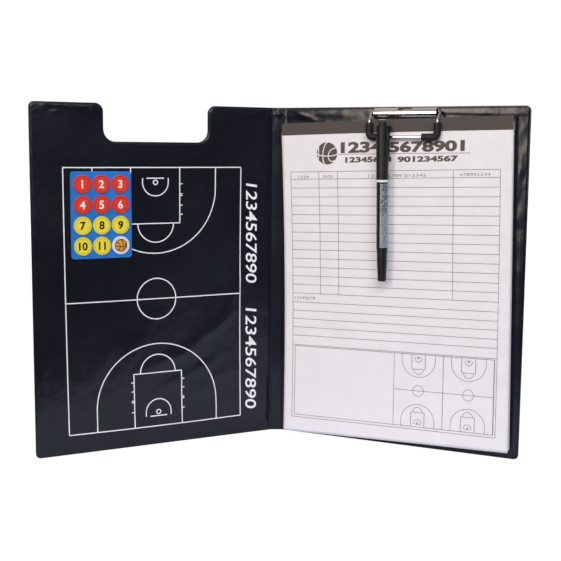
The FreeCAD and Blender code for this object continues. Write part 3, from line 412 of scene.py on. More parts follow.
def cover_skin(cover, side, inner, finish):
    """One skin: a grid over the cover, whose places near a round corner are moved onto it along the gradient
    of the signed distance, whose faces past the outline are dropped, and whose height is the skin's."""
    half = cover.notch_width / 2
    u_stops = [cover.crease_gap, cover.width]
    z_stops = [0.0, cover.height]
    if side < 0:
        u_stops[1:1] = [cover.notch_middle - half, cover.notch_middle + half]
        z_stops[1:1] = [cover.height - cover.notch_depth]
    coarse = (3.0 if inner else 6.0) * MM
    u, z = np.meshgrid(graded(u_stops, EDGE * MM, coarse), graded(z_stops, EDGE * MM, coarse), indexing="ij")
    faces = grid_faces(*u.shape)
    small = 0.01 * MM
    past = past_edge(cover, side, u, z)
    slope_u = (past_edge(cover, side, u + small, z) - past_edge(cover, side, u - small, z)) / (2 * small)
    slope_z = (past_edge(cover, side, u, z + small) - past_edge(cover, side, u, z - small)) / (2 * small)
    curved = np.minimum(np.abs(slope_u), np.abs(slope_z)) > 0.03
    near = curved & (past > -0.28 * MM) & (past < 0.60 * MM)
    u = np.where(near, u - past * slope_u, u)
    z = np.where(near, z - past * slope_z, z)
    kept = (np.where(near, 0.0, past).ravel()[faces] < small).all(axis=1)
    used, faces = np.unique(faces[kept], return_inverse=True)
    faces = faces.reshape(-1, 4)
    u, z = u.ravel()[used], z.ravel()[used]
    table = OUTER_FOLDS if not inner else LEFT_CRUMPLES if side < 0 else RIGHT_CRUMPLES
    way = 1.0 if inner else -1.0
    n = cover_height(cover, side, u, z, table, way * cover.flare) * way
    if (side < 0) == inner:
        faces = faces[:, ::-1]
    hand, layer = HAND[side], "inner" if inner else "outer"
    made = dress(f"{hand}_{layer}_vinyl", on_cover(side, u, n, z), faces.tolist(), finish, "vinyl",
                 f"{hand}_leaf", [f"{hand}_{layer}_skin"], closed=False)
    wall = made.modifiers.new("skin", "SOLIDIFY")
    wall.thickness = cover.skin
    wall.offset = -1.0
    return made


def closing(cover, z):
    """1 over a cover's height, falling to 0 at its foot and head as a quarter circle."""
    close = np.minimum(z, cover.height - z) / cover.rim_half
    return np.sqrt(1.0 - np.clip(1.0 - close, 0.0, 1.0) ** 2)


def spine_tube(cover, finish):
    """The spine's skins: a flat profile, a little lower towards its edges, carried up the spine, drawn to a
    line at foot and head, with a diamond pinched up near the head (a four-sided pyramid), a short creased
    tail below it and soft dents."""
    across = np.linspace(-1.0, 1.0, 33)
    z = graded([0.0, cover.height], np.linspace(0.0, 16.0, 41) * MM, 2.0 * MM)[:, None]
    crown = cover.spine_crown - 0.16 * MM * across ** 4
    close = closing(cover, z)
    x = across * cover.spine_half
    down = (cover.height - z) / MM
    diamond = 2.0 * np.clip(1.0 - np.abs(across) * 1.05 - np.abs(down - 6.0) / 6.0, 0.0, 1.0)
    tail = 0.4 * np.clip(1.0 - np.abs(across + 0.3 - 0.012 * down) / 0.6, 0.0, 1.0)
    tail = tail * smooth_step((down - 8.0) / 5.0) * smooth_step((40.0 - down) / 30.0)
    dents = 0.02 * np.sin(down / 7.0 + across * 2.0) * np.sin(down / 23.0)
    relief = (diamond + tail + dents) * MM * (1.0 - across ** 4)
    front, back = -(crown + relief) * close, (crown + 0.3 * relief) * close
    loop_x = np.concatenate([x, x[-2:0:-1]])
    loop_y = np.concatenate([front, back[:, -2:0:-1]], axis=1)
    points = np.stack(np.broadcast_arrays(loop_x, loop_y, z), axis=-1)
    return dress("spine_vinyl", points, tube_faces(*loop_y.shape), finish, "vinyl", "spine",
                 ["spine_inner_skin", "spine_outer_skin"])


def crease_strip(cover, side, finish):
    """A crease: a thin flat profile whose run turns from the spine's line into the cover's line (its heading
    is a smooth step of the run, its places the running sum of that heading), carried up the cover with small
    ripples."""
    run = np.linspace(-1.7, 2.0, 27) * MM
    lean = np.arcsin(LEFT_OUT[0]) * smooth_step((run + 0.9 * MM) / (1.8 * MM))
    step = np.diff(run, prepend=run[0])
    hand = HAND[side]
    x = abs(JOINTS[f"{hand}_fold"]["pos_m"][0]) + run[0] + np.cumsum(np.cos(lean) * step)
    y = -np.cumsum(np.sin(lean) * step)
    z = graded([0.0, cover.height], np.linspace(0.0, 16.0, 41) * MM, 1.6 * MM)[:, None]
    down = (cover.height - z) / MM
    close = closing(cover, z)
    ripple = 0.10 * np.sin(down / 2.9 + side) * np.sin(down / 11.0)
    ripple = ripple + 0.25 * np.exp(-((down - 7.0) / 3.0) ** 2)
    tuck = 1.0 - (np.abs(run - run.mean()) / (np.ptp(run) / 2)) ** 6
    front = (0.46 * MM + (0.10 * MM + ripple * MM) * tuck) * close
    back = (0.46 * MM + 0.10 * MM * tuck) * close
    loop = [np.concatenate([one, two[:, -2:0:-1]], axis=1) for one, two in (
        (x - np.sin(lean) * front, x + np.sin(lean) * back),
        (y - np.cos(lean) * front, y + np.cos(lean) * back))]
    points = np.stack(np.broadcast_arrays(side * loop[0], loop[1], z), axis=-1)
    made = dress(f"{hand}_crease_vinyl", points, tube_faces(*loop[0].shape), finish, "vinyl", None,
                 [f"{hand}_hinge_web"])
    # The bend is spread over the middle half of the run.
    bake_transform(made)
    return made


# Printing

# Corners of two printed frames on their covers, in millimetres: foot near the crease, foot far, head near,
# head far. Both are a little out of square: the court's border on the left and the ruled frame of the sheet
# on the right.
COURT = np.array(((33.3, 18.6), (201.0, 18.2), (33.35, 256.9), (202.8, 256.7))) * MM
RULED = np.array(((14.5, 17.9), (211.9, 20.5), (10.9, 252.8), (208.5, 258.4))) * MM
# The ruled frame's own width and height, and in shares of its height: the first and last line of its table,
# its count of lines, and the head of the boxes at its foot. Its comment lines are in millimetres above the
# foot.
RULED_WIDE, RULED_TALL, RULED_FOOT = 197.6, 234.9, 17.9
FIRST_ROW, LAST_ROW, ROWS, BOXES = 0.971, 0.513, 14, 0.301
COMMENTS = (129.8, 121.8, 113.8, 105.8, 97.8)
COLUMNS = (0.144, 0.238, 0.79)
# The double border round the boxes is this far apart, in millimetres. The two small courts in it: their
# middles and half width in shares of the frame's width, and their scale to the printed court.
BORDER, SMALL_COURTS, SMALL_HALF, SMALL_SCALE = 2.4, (0.636, 0.872), 0.118, 0.27
# Marks along the key, in shares of its length.
TICKS = (0.295, 0.475, 0.505, 0.68, 0.845)
# Tall numbers beside the court: head and foot, in millimetres up the cover.
SIDE_NUMBERS = (("upper", 242.0, 147.0), ("lower", 123.0, 24.0))
# Plain numbers at the head of the sheet, and small ones where its columns are named. In millimetres on the
# cover: both ends, the height of the middle and the size of the digits, then their weight.
SHEET_TITLE = (
    ("1234", 60.9, 101.0, 276.4, 10.2, 0.045), ("5678901", 107.2, 176.6, 277.6, 10.2, 0.045),
    ("12345678", 65.5, 110.0, 265.4, 5.4, 0.045), ("901234567", 115.5, 171.0, 266.6, 5.4, 0.045),
)
COLUMN_NAMES = (
    ("1234", 19.0, 29.6, 248.5, 2.6, 0.0), ("5678", 43.8, 53.2, 249.3, 2.6, 0.0),
    ("1234 56789 012345", 88.5, 142.5, 251.3, 2.6, 0.0), ("678901234", 173.0, 200.0, 253.6, 2.6, 0.0),
    ("12345678", 16.6, 37.5, 134.3, 2.6, 0.0),
)
# Both ends of the line under the title, and the middle of the ball beside it, in millimetres on the cover.
TITLE_RULE = np.array((58.0, 269.8, 182.0, 272.2)) * MM
TITLE_BALL = np.array((47.4, 270.5)) * MM


def between(corners, a, b):
    """Places on a cover from shares a across and b up a printed frame: two-way interpolation of its
    corners."""
    a, b = np.asarray(a, dtype=float)[..., None], np.asarray(b, dtype=float)[..., None]
    return (corners[0] * (1 - a) + corners[1] * a) * (1 - b) + (corners[2] * (1 - a) + corners[3] * a) * b


def line(u0, z0, u1, z1, step=3.0 * MM):
    """An open straight path, as evenly spaced places."""
    count = max(2, int(np.ceil(np.hypot(u1 - u0, z1 - z0) / step)) + 1)
    return np.stack([np.linspace(u0, u1, count), np.linspace(z0, z1, count)], axis=1), False


def arc(u, z, radius, first=0.0, last=360.0):
    """An arc as a path from angle to angle, or a closed ring."""
    ring = last - first >= 360.0
    angle = np.radians(np.linspace(first, last, 65)[:-1 if ring else None])
    return np.stack([u + radius * np.cos(angle), z + radius * np.sin(angle)], axis=1), ring


def strips(paths, width, lay):
    """Flat bars along paths: a path's places plus and minus half the width along its normal give two edges,
    each laid a little under and a little over the surface that carries it, which lay() knows."""
    points, faces, count = [], [], 0
    height = np.array((-INK, INK, INK, -INK))
    for path, ring in paths:
        ahead = np.roll(path, -1, 0) - np.roll(path, 1, 0) if ring else np.gradient(path, axis=0)
        ahead = ahead / np.linalg.norm(ahead, axis=1, keepdims=True)
        across = ahead[:, ::-1] * (-1.0, 1.0) * width / 2
        edges = np.stack([path - across, path - across, path + across, path + across], axis=1)
        points.append(lay(edges[..., 0], edges[..., 1], height).reshape(-1, 3))
        rows = len(path)
        faces += (grid_faces(rows, 4, ring, True) + count).tolist()
        if not ring:
            faces += [[count + at for at in (0, 1, 2, 3)], [count + 4 * rows - at for at in (1, 2, 3, 4)]]
        count += 4 * rows
    return np.concatenate(points), faces


def disc(u, z, radius, lay):
    """A thin round plate: a circle laid a little under and a little over its carrier, joined by its wall."""
    angle = np.linspace(0.0, 2 * np.pi, 64, endpoint=False)[None]
    points = lay(u + radius * np.cos(angle), z + radius * np.sin(angle), np.array([[-INK], [INK]]))
    return points, tube_faces(*points.shape[:2])


def ball_seams(u, z, radius):
    """Seams of a ball turned a little aside: two great circles and two bowed ones on a sphere, turned about
    two axes, whose front halves are seen straight on."""
    angle = np.linspace(0.0, 2 * np.pi, 97)[:-1]
    still = np.zeros_like(angle)
    bowed = [np.stack([way * (0.52 + 0.30 * np.cos(angle) ** 2), still, still], axis=1) for way in (-1, 1)]
    for loop in bowed:
        rest = np.sqrt(1.0 - loop[:, 0] ** 2)
        loop[:, 1], loop[:, 2] = rest * np.sin(angle), rest * np.cos(angle)
    loops = [np.stack([np.cos(angle), np.sin(angle), still], axis=1),
             np.stack([still, np.sin(angle), np.cos(angle)], axis=1)] + bowed
    swing, nod = np.radians(24.0), np.radians(-14.0)
    turned = np.array(((np.cos(swing), np.sin(swing), 0), (-np.sin(swing), np.cos(swing), 0), (0, 0, 1)))
    turned = turned @ np.array(((1, 0, 0), (0, np.cos(nod), np.sin(nod)), (0, -np.sin(nod), np.cos(nod))))
    paths = []
    for loop in loops:
        loop = loop @ turned
        front = loop[:, 1] > 0.02
        loop = np.roll(loop, -int(np.flatnonzero(front & ~np.roll(front, 1))[0]), axis=0)[:int(front.sum())]
        paths.append((np.stack([u + radius * loop[:, 0], z + radius * loop[:, 2]], axis=1), False))
    return paths


def printed_ball(name, face_name, middle, radius, lay, face, seam, width, slots, body, rings):
    """A printed ball: a disc, and over it bars along its seams and any rings given."""
    dress(face_name, *disc(*middle, radius, lay), face, slots[0], body, smooth=False)
    paths = ball_seams(*middle, radius) + rings
    seams = strips(paths, width, lambda u, z, height: lay(u, z, height + 1.2 * INK))
    dress(f"{name}_seams", *seams, seam, slots[1], body, smooth=False)


def court_paths(court, middle, foot, head, half, scale):
    """All lines of a court as paths: side, base and half lines, the centre circle, and at each end the key
    with its marks, the free-throw arc, the wide arc with its straight run, the hoop, its board and its small
    arc."""
    reach = court.line * scale / 2
    waist = (foot + head) / 2
    near, far = middle - half, middle + half
    paths = [line(near - reach, level, far + reach, level) for level in (foot, waist, head)]
    paths += [line(side, foot - reach, side, head + reach) for side in (near, far)]
    paths.append(arc(middle, waist, court.circle * scale))
    for base, way in ((foot, 1), (head, -1)):
        first = 0.0 if way > 0 else 180.0
        level = {name: base + way * scale * getattr(court, name)
                 for name in ("key_length", "wide_run", "hoop_at", "board_at")}
        key, wide, charge = (scale * size for size in (court.key_half, court.wide, court.charge))
        end = level["key_length"]
        paths.append(line(middle - key - reach, end, middle + key + reach, end))
        paths.append(arc(middle, end, court.throw * scale, first, first + 180.0))
        paths.append(arc(middle, level["wide_run"], wide, first, first + 180.0))
        paths.append(arc(middle, level["hoop_at"], charge, first, first + 180.0))
        paths.append(arc(middle, level["hoop_at"], court.hoop * scale))
        board = court.board_half * scale
        paths.append(line(middle - board, level["board_at"], middle + board, level["board_at"]))
        for hand in (-1, 1):
            side = middle + hand * key
            paths.append(line(side, base, side, end))
            for reach_out, low, high in ((wide, base, level["wide_run"]),
                                         (charge, level["board_at"], level["hoop_at"])):
                paths.append(line(middle + hand * reach_out, low, middle + hand * reach_out, high))
            for share in TICKS:
                tick = base + way * scale * share * court.key_length
                paths.append(line(side, tick, middle + hand * (key + court.tick * scale), tick))
    return paths


def number_shape(text, slant=0.0, weight=0.03):
    """A number as points and faces: an extruded text made a mesh, centred, one high and one thick."""
    curve = bpy.data.curves.new("number", "FONT")
    curve.body = text
    curve.offset = weight
    curve.shear = slant
    curve.extrude = 0.05
    curve.resolution_u = 4
    holder = bpy.data.objects.new("number", curve)
    bpy.context.scene.collection.objects.link(holder)
    bpy.context.view_layer.update()
    mesh = bpy.data.meshes.new_from_object(holder.evaluated_get(bpy.context.evaluated_depsgraph_get()))
    points = np.empty(len(mesh.vertices) * 3)
    mesh.vertices.foreach_get("co", points)
    points = points.reshape(-1, 3)
    faces = [list(face.vertices) for face in mesh.polygons]
    bpy.data.meshes.remove(mesh)
    bpy.data.objects.remove(holder)
    bpy.data.curves.remove(curve)
    low, high = points.min(axis=0), points.max(axis=0)
    points = (points - (low + high) / 2) / ((high - low)[1], (high - low)[1], (high - low)[2])
    return points, faces


# Planner pad


def pad_places(pad, x, y, lag):
    """Places on the right cover of a sheet's own places x, y from the pad's middle: the sheet hangs from the
    middle of the pad's head, turned back from the pad's skew by lag, and is drawn up a little towards its
    foot."""
    u, z, *_ = place_of("pad_sheets", 1)
    head = pad.height / 2
    y = y + pad.trim * (1.0 + 0.5 * x / pad.width) * (0.5 - y / pad.height)
    turned = pad.skew - lag
    y = y - head
    u = u - np.sin(pad.skew) * head + x * np.cos(turned) - y * np.sin(turned)
    z = z + np.cos(pad.skew) * head + x * np.sin(turned) + y * np.cos(turned)
    return u, z


def pad_stack(pad, node, name, low, high, lags, layers, finish, slot):
    """A stack of sheets: a rectangle with small round corners, carried through the layers. Each layer hangs
    back a little more than the one over it, and is a little larger or smaller, by a sine of its number."""
    corner, steps = 1.6 * MM, 7
    angle = np.concatenate([np.linspace(first, first + 90.0, steps) for first in (0, 90, 180, 270)])
    angle = np.radians(angle)
    x = corner * np.cos(angle) + np.repeat((1, -1, -1, 1), steps) * (pad.width / 2 - corner)
    y = corner * np.sin(angle) + np.repeat((1, 1, -1, -1), steps) * (pad.height / 2 - corner)
    y = np.minimum(y, pad.height / 2 - pad.under)
    level = np.linspace(0.0, 1.0, layers)[:, None]
    number = np.arange(layers)[:, None]
    uneven = 0.16 * MM * np.sin(number * 2.4) + 0.10 * MM * np.sin(number * 5.1)
    grow = 1.0 + (uneven - 0.6 * MM) / (pad.width / 2)
    lag = lags[0] + (lags[1] - lags[0]) * level ** 0.8
    u, z = pad_places(pad, x * grow, y * grow, lag)
    points = on_cover(1, u, low + (high - low) * level, z)
    return dress(name, points, tube_faces(layers, len(angle)), finish, slot, "right_leaf", [node],
                 smooth=False)


def sheet_height(pad, u, z):
    """Lift of the top sheet over its seat: a low wave along it, and a curl of the free lower corner."""
    wave = 0.05 * MM * (1.0 + np.sin(u / (31 * MM) + z / (47 * MM)))
    curl = smooth_step((u - 120 * MM) / (110 * MM)) ** 2 * smooth_step((70 * MM - z) / (80 * MM)) ** 2
    return wave + pad.curl * curl


def top_sheet(pad, seat, finish):
    """The top sheet: a grid over the pad, its near edge bowed (a parabola), lifted by its wave and its curl,
    with two faces and an edge."""
    rise = np.linspace(-pad.height / 2, pad.height / 2 - pad.under, 100)
    x, y = np.meshgrid(np.linspace(-0.5, 0.5, 73) * pad.width, rise, indexing="ij")
    share = 2 * y / pad.height
    bow = (0.74 + 0.17 * share - 2.52 * share ** 2) * smooth_step((rise[-1] - y) / (8 * MM))
    x = x + bow * MM * (0.5 - x / pad.width)
    u, z = pad_places(pad, x, y, 0.0)
    n = seat + sheet_height(pad, u, z)
    made = dress("planner_top_sheet", on_cover(1, u, n, z), grid_faces(*x.shape).tolist(), finish, "paper",
                 "right_leaf", ["pad_top_sheet"], closed=False)
    wall = made.modifiers.new("sheet", "SOLIDIFY")
    wall.thickness = 0.1 * MM
    wall.offset = -1.0
    return made


def binding_strip(pad, finish):
    """The binding: a hooked profile, down the front, over the head and down the back, carried across the
    pad's head. The front stands up in a low lip before the clip, and both its edges climb away from the
    crease (low parabolas)."""
    _, _, back, front = place_of("pad_tape", 1)
    head, skin, lip, front = pad.height / 2, 0.25 * MM, 2.0 * MM, front - 0.05 * MM
    x = np.linspace(-0.504, 0.501, 60)[:, None] * pad.width
    bend = 0.046 / 1000 * x ** 2 / MM
    top = head + 1.0 * MM + 0.0135 * x - bend
    low = head - pad.binding + 1.23 * MM + 0.0068 * x - bend
    seat = top - 1.3 * MM
    n = np.array((back, back, front - lip, front, front, front - skin, front - skin, front - lip,
                  back + skin, back + skin))
    y = np.hstack([low, seat, seat, top, low, low, top - 2 * skin, seat - skin, seat - skin, low])
    u, z = pad_places(pad, x, y, 0.0)
    return dress("pad_binding", on_cover(1, u, n, z), tube_faces(*y.shape), finish, "binding_cloth",
                 "right_leaf", ["pad_tape"], smooth=False)


def ruled_path(path):
    """A path in shares of the ruled frame, laid onto the cover: between its corners, and bowed like the
    sheet."""
    (a, b), ring = path[0].T, path[1]
    bowed = 4 * b * (1 - b) * (1.9 - 1.4 * a) * MM
    return between(RULED, a, b) + np.stack([bowed, 0 * bowed], axis=1), ring


def ruled_line(a0, b0, a1, b1):
    """A straight ruled line in shares of the frame."""
    return ruled_path(line(a0, b0, a1, b1, 0.02))


def sheet_ruling(court):
    """All lines of the sheet as paths: a table with its columns, lines for comments, and at the foot a double
    border round an empty box and two small courts."""
    wide, tall = RULED_WIDE * MM, RULED_TALL * MM
    rows = [FIRST_ROW - step * (FIRST_ROW - LAST_ROW) / (ROWS - 1) for step in range(ROWS)]
    comments = [(level - RULED_FOOT) / RULED_TALL for level in COMMENTS]
    paths = [ruled_line(0.0, b, 1.0, b) for b in [1.0] + rows + comments + [BOXES]]
    paths += [ruled_line(a, 0.0, a, 1.0) for a in (0.0, 1.0)]
    paths += [ruled_line(a, LAST_ROW, a, 1.0) for a in COLUMNS]
    side, foot = BORDER * MM / wide, BORDER * MM / tall
    head = BOXES - foot / 2
    paths += [ruled_line(0.0, 0.0, 1.0, 0.0)]
    paths += [ruled_line(side, b, 1 - side, b) for b in (foot, head)]
    paths += [ruled_line(a, foot, a, head) for a in (side, 1 - side)]
    for middle in SMALL_COURTS:
        small = court_paths(court, middle * wide, foot * tall, head * tall, SMALL_HALF * wide, SMALL_SCALE)
        paths += [ruled_path((path / (wide, tall), ring)) for path, ring in small]
    return paths


def printed_numbers(name, rows, skew, lay, finish):
    """Numbers of a table printed on the sheet: each is stretched to its ends and climbs with the pad's
    skew."""
    points, faces, count = [], [], 0
    for digits, first, last, middle, tall, weight in rows:
        shape, own = number_shape(digits, weight=weight)
        along = shape[:, 0] / np.ptp(shape[:, 0]) * (last - first) * MM
        z = middle * MM + shape[:, 1] * tall * MM + along * np.sin(1.6 * skew)
        points.append(lay((first + last) / 2 * MM + along, z, shape[:, 2] * 2 * INK))
        faces += [[count + at for at in face] for face in own]
        count += len(shape)
    dress(name, np.concatenate(points), faces, finish, "paper", "right_leaf", smooth=False)


# Finishes


def add(tree, kind, values=None, links=None, out=0, **settings):
    """Add a shader node, set its properties and its sockets' values, link sockets from other nodes' outputs,
    and give one of its own outputs, where it has any."""
    made = tree.nodes.new("ShaderNode" + kind)
    for name, value in settings.items():
        setattr(made, name, value)
    for name, value in (values or {}).items():
        made.inputs[name].default_value = value
    for name, source in (links or {}).items():
        tree.links.new(source, made.inputs[name])
    return made.outputs[out] if made.outputs else None


def blank(name):
    """An empty material, its tree, and Object coordinates in metres."""
    material = bpy.data.materials.new(name)
    material.use_nodes = True
    tree = material.node_tree
    tree.nodes.clear()
    return material, tree, add(tree, "TexCoord", out="Object")


def mottled(name, dark, light, patch, rough, grain, depth, **values):
    """A finish whose colour and gloss drift between two tones in patches, over a fine grain that bumps it.
    patch, grain and depth are real sizes in millimetres."""
    material, tree, place = blank(name)
    span = {"From Min": 0.3, "From Max": 0.7}
    clouds = add(tree, "TexNoise", {"Scale": 1 / (patch * MM), "Detail": 4.0}, {"Vector": place})
    share = add(tree, "MapRange", span, {"Value": clouds})
    tone = add(tree, "Mix", {6: dark, 7: light}, {0: share}, 2, data_type="RGBA")
    gloss = add(tree, "MapRange", {**span, "To Min": rough[0], "To Max": rough[1]}, {"Value": clouds})
    grains = add(tree, "TexNoise", {"Scale": 1 / (grain * MM), "Detail": 2.0}, {"Vector": place})
    bump = add(tree, "Bump", {"Distance": depth * MM}, {"Height": grains})
    shader = add(tree, "BsdfPrincipled", values, {"Base Color": tone, "Roughness": gloss, "Normal": bump})
    add(tree, "OutputMaterial", links={"Surface": shader})
    return material


def shade(rgba, factor):
    """A colour made darker or lighter by a factor."""
    return (*[min(1.0, part * factor) for part in rgba[:3]], 1.0)


def calendered_vinyl(cover, name, rough):
    """Soft PVC sheet, calendered with a leather grain and heat-welded: navy-black, satin, with a glossy skin
    that shows broad soft highlights, duller where it is flexed. The grain is 0.4 mm and drawn at 1.1 mm,
    because it is too fine to show."""
    material, tree, place = blank(name)
    clouds = add(tree, "TexNoise", {"Scale": 1 / (55 * MM), "Detail": 5.0}, {"Vector": place})
    tone = add(tree, "Mix", {6: cover.vinyl_dark, 7: cover.vinyl_light}, {0: clouds}, 2, data_type="RGBA")
    span = {"From Min": 0.3, "From Max": 0.7, "To Min": rough[0], "To Max": rough[1]}
    gloss = add(tree, "MapRange", span, {"Value": clouds})
    grains = add(tree, "TexVoronoi", {"Scale": 1 / (1.1 * MM)}, {"Vector": place}, feature="SMOOTH_F1")
    grain = add(tree, "Bump", {"Distance": 0.03 * MM, "Strength": 0.5}, {"Height": grains})
    swell = add(tree, "TexNoise", {"Scale": 1 / (16 * MM), "Detail": 2.0}, {"Vector": place})
    peel = add(tree, "Bump", {"Distance": 0.7 * MM, "Strength": 0.8}, {"Height": swell, "Normal": grain})
    shader = add(tree, "BsdfPrincipled", {"IOR": 1.5},
                 {"Base Color": tone, "Roughness": gloss, "Normal": peel})
    add(tree, "OutputMaterial", links={"Surface": shader})
    return material


def bright_nickel(hardware):
    """Nickel plate over rolled spring steel: mirror-bright with faint rolling lines and a little haze."""
    return mottled("bright_nickel_plate", shade(hardware.plating, 0.86), hardware.plating, 18, (0.07, 0.14),
                   0.9, 0.006, Metallic=1.0)


def counter_sheet(name, tone):
    """Flexible magnet sheet with a printed vinyl face, pressed with rings near the rim: satin, with lines
    that catch the light. The rings are also drawn darker in colour: painted shade on the pressed relief. The
    counters lie on one lattice, so the nearest middle is found by wrapping the place."""
    material, tree, place = blank(name)
    pitch = 0.75 * MM
    spots = {number: place_of(f"counter_{number:02d}", -1) for number in (1, 2, 4)}
    wide, tall = abs(spots[1][0] - spots[2][0]), abs(spots[1][1] - spots[4][1])
    lean = float(np.pi - np.arcsin(LEFT_OUT[0]))
    middle = on_cover(-1, spots[1][0], 0.0, spots[1][1])
    shift = (-(np.cos(lean) * middle[0] - np.sin(lean) * middle[1]), 0.0, -middle[2])
    flat = add(tree, "Mapping", {"Rotation": (0.0, 0.0, lean), "Location": shift}, {"Vector": place})
    cell = {1: (wide / 2, 1.0, tall / 2), 2: (-wide / 2, -1.0, -tall / 2)}
    near = add(tree, "VectorMath", cell, {0: flat}, operation="WRAP")
    near = add(tree, "VectorMath", {1: (1.0, 0.0, 1.0)}, {0: near}, operation="MULTIPLY")
    reach = add(tree, "VectorMath", None, {0: near}, "Value", operation="LENGTH")
    wave = add(tree, "Math", {1: pitch}, {0: reach}, operation="PINGPONG")
    wave = add(tree, "MapRange", {"From Max": pitch}, {"Value": wave})
    rim = add(tree, "MapRange", {"From Min": 5.4 * MM, "From Max": 5.8 * MM}, {"Value": reach})
    rings = add(tree, "Math", None, {0: wave, 1: rim}, operation="MULTIPLY")
    # Painted shade: the pressed rings darken the sheet's colour, on top of their real bump.
    tone = add(tree, "Mix", {6: tone, 7: shade(tone, 0.72)}, {0: rings}, 2, data_type="RGBA")
    haze = add(tree, "TexNoise", {"Scale": 1 / (5 * MM)}, {"Vector": place})
    gloss = add(tree, "MapRange", {"To Min": 0.34, "To Max": 0.5}, {"Value": haze})
    bump = add(tree, "Bump", {"Distance": 0.08 * MM}, {"Height": rings})
    shader = add(tree, "BsdfPrincipled", {"IOR": 1.5},
                 {"Base Color": tone, "Roughness": gloss, "Normal": bump})
    add(tree, "OutputMaterial", links={"Surface": shader})
    return material


def sheet_edges(pad):
    """Cut edges of a paper stack: off-white with fine darker lines between sheets. A sheet is 0.1 mm and the
    lines are drawn 0.7 mm apart, because they are too fine to show."""
    material, tree, place = blank("cut_paper_edges")
    turned = add(tree, "Mapping", {"Rotation": (0.0, 0.0, float(np.arcsin(LEFT_OUT[0])))}, {"Vector": place})
    values = {"Scale": 2 * np.pi / (20 * 0.7 * MM), "Distortion": 1.5, "Detail": 2.0, "Detail Scale": 2.0}
    lines = add(tree, "TexWave", values, {"Vector": turned}, "Fac", bands_direction="Y")
    tone = add(tree, "Mix", {6: shade(pad.paper, 0.62), 7: pad.paper}, {0: lines}, 2, data_type="RGBA")
    shader = add(tree, "BsdfPrincipled", {"Roughness": 0.9, "IOR": 1.45}, {"Base Color": tone})
    add(tree, "OutputMaterial", links={"Surface": shader})
    return material


def woven_binding(pad):
    """Starched book cloth: matte warm grey-black with a plain weave. The thread is 0.3 mm and drawn at 0.9
    mm, because it is too fine to show."""
    material, tree, place = blank("woven_binding_cloth")
    turned = add(tree, "Mapping", {"Rotation": (0.0, 0.0, float(np.arcsin(LEFT_OUT[0])))}, {"Vector": place})
    values = {"Scale": 2 * np.pi / (20 * 0.9 * MM), "Distortion": 0.8}
    warp, weft = (add(tree, "TexWave", values, {"Vector": turned}, "Fac", bands_direction=way)
                  for way in "XZ")
    weave = add(tree, "Math", None, {0: warp, 1: weft}, operation="MULTIPLY")
    tones = {6: shade(pad.tape, 0.72), 7: shade(pad.tape, 1.15)}
    tone = add(tree, "Mix", tones, {0: weave}, 2, data_type="RGBA")
    bump = add(tree, "Bump", {"Distance": 0.08 * MM, "Strength": 0.6}, {"Height": weave})
    shader = add(tree, "BsdfPrincipled", {"Roughness": 0.82, "IOR": 1.45},
                 {"Base Color": tone, "Normal": bump})
    add(tree, "OutputMaterial", links={"Surface": shader})
    return material


def printed_film(hardware):
    """Silver polyester film, printed with dark specks and worn by the hand: a satin metal sheen, marked all
    over, paler and cleaner towards the lower end."""
    material, tree, place = blank("printed_silver_film")
    low, high = (corner.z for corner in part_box("pen_label"))
    height = add(tree, "SeparateXYZ", None, {"Vector": place}, "Z")
    span = {"From Min": low + 0.55 * (high - low), "From Max": low + 0.50 * (high - low), "To Max": 0.10}
    clean = add(tree, "MapRange", span, {"Value": height})
    values = {"Scale": 1 / (1.7 * MM), "Detail": 3.0, "Roughness": 0.65}
    marks = add(tree, "TexNoise", values, {"Vector": place})
    marks = add(tree, "Math", None, {0: marks, 1: clean}, operation="SUBTRACT")
    share = add(tree, "MapRange", {"From Min": 0.42, "From Max": 0.60}, {"Value": marks})
    tone = add(tree, "Mix", {6: hardware.film, 7: hardware.print}, {0: share}, 2, data_type="RGBA")
    metal = add(tree, "MapRange", {"To Min": 0.35, "To Max": 0.0}, {"Value": share})
    shader = add(tree, "BsdfPrincipled", {"Roughness": 0.38}, {"Base Color": tone, "Metallic": metal})
    add(tree, "OutputMaterial", links={"Surface": shader})
    return material


def paper_floor(stage):
    """White paper floor: seen by the camera it is mostly its own white, and still takes the object's shadow.
    The paper ends a little before and beside the object, so the covers mirror the dark bench higher up."""
    material, tree, place = blank("white_paper_floor")
    fibre = add(tree, "TexNoise", {"Scale": 1 / (60 * MM)}, {"Vector": place})
    paper = add(tree, "Mix", {6: shade(stage.floor, 0.98), 7: stage.floor}, {0: fibre}, 2, data_type="RGBA")
    front = add(tree, "VectorMath", {1: (0.3, 1.0, 0.0)}, {0: place}, "Value", operation="DOT_PRODUCT")
    front = add(tree, "MapRange", {"From Min": -0.25, "From Max": -0.32}, {"Value": front})
    aside = add(tree, "SeparateXYZ", None, {"Vector": place}, "X")
    aside = add(tree, "Math", None, {0: aside}, operation="ABSOLUTE")
    aside = add(tree, "MapRange", {"From Min": 0.42, "From Max": 0.56}, {"Value": aside})
    bench = add(tree, "Math", None, {0: front, 1: aside}, operation="MAXIMUM")
    tone = add(tree, "Mix", {7: stage.bench}, {0: bench, 6: paper}, 2, data_type="RGBA")
    matte = add(tree, "BsdfDiffuse", None, {"Color": tone})
    glow = add(tree, "Emission", {"Strength": 1.15})
    share = add(tree, "MapRange", {"To Min": 0.82}, {"Value": bench})
    seen = add(tree, "LightPath", out="Is Camera Ray")
    share = add(tree, "Math", None, {0: seen, 1: share}, operation="MULTIPLY")
    both = add(tree, "MixShader", None, {0: share, 1: matte, 2: glow})
    add(tree, "OutputMaterial", links={"Surface": both})
    return material


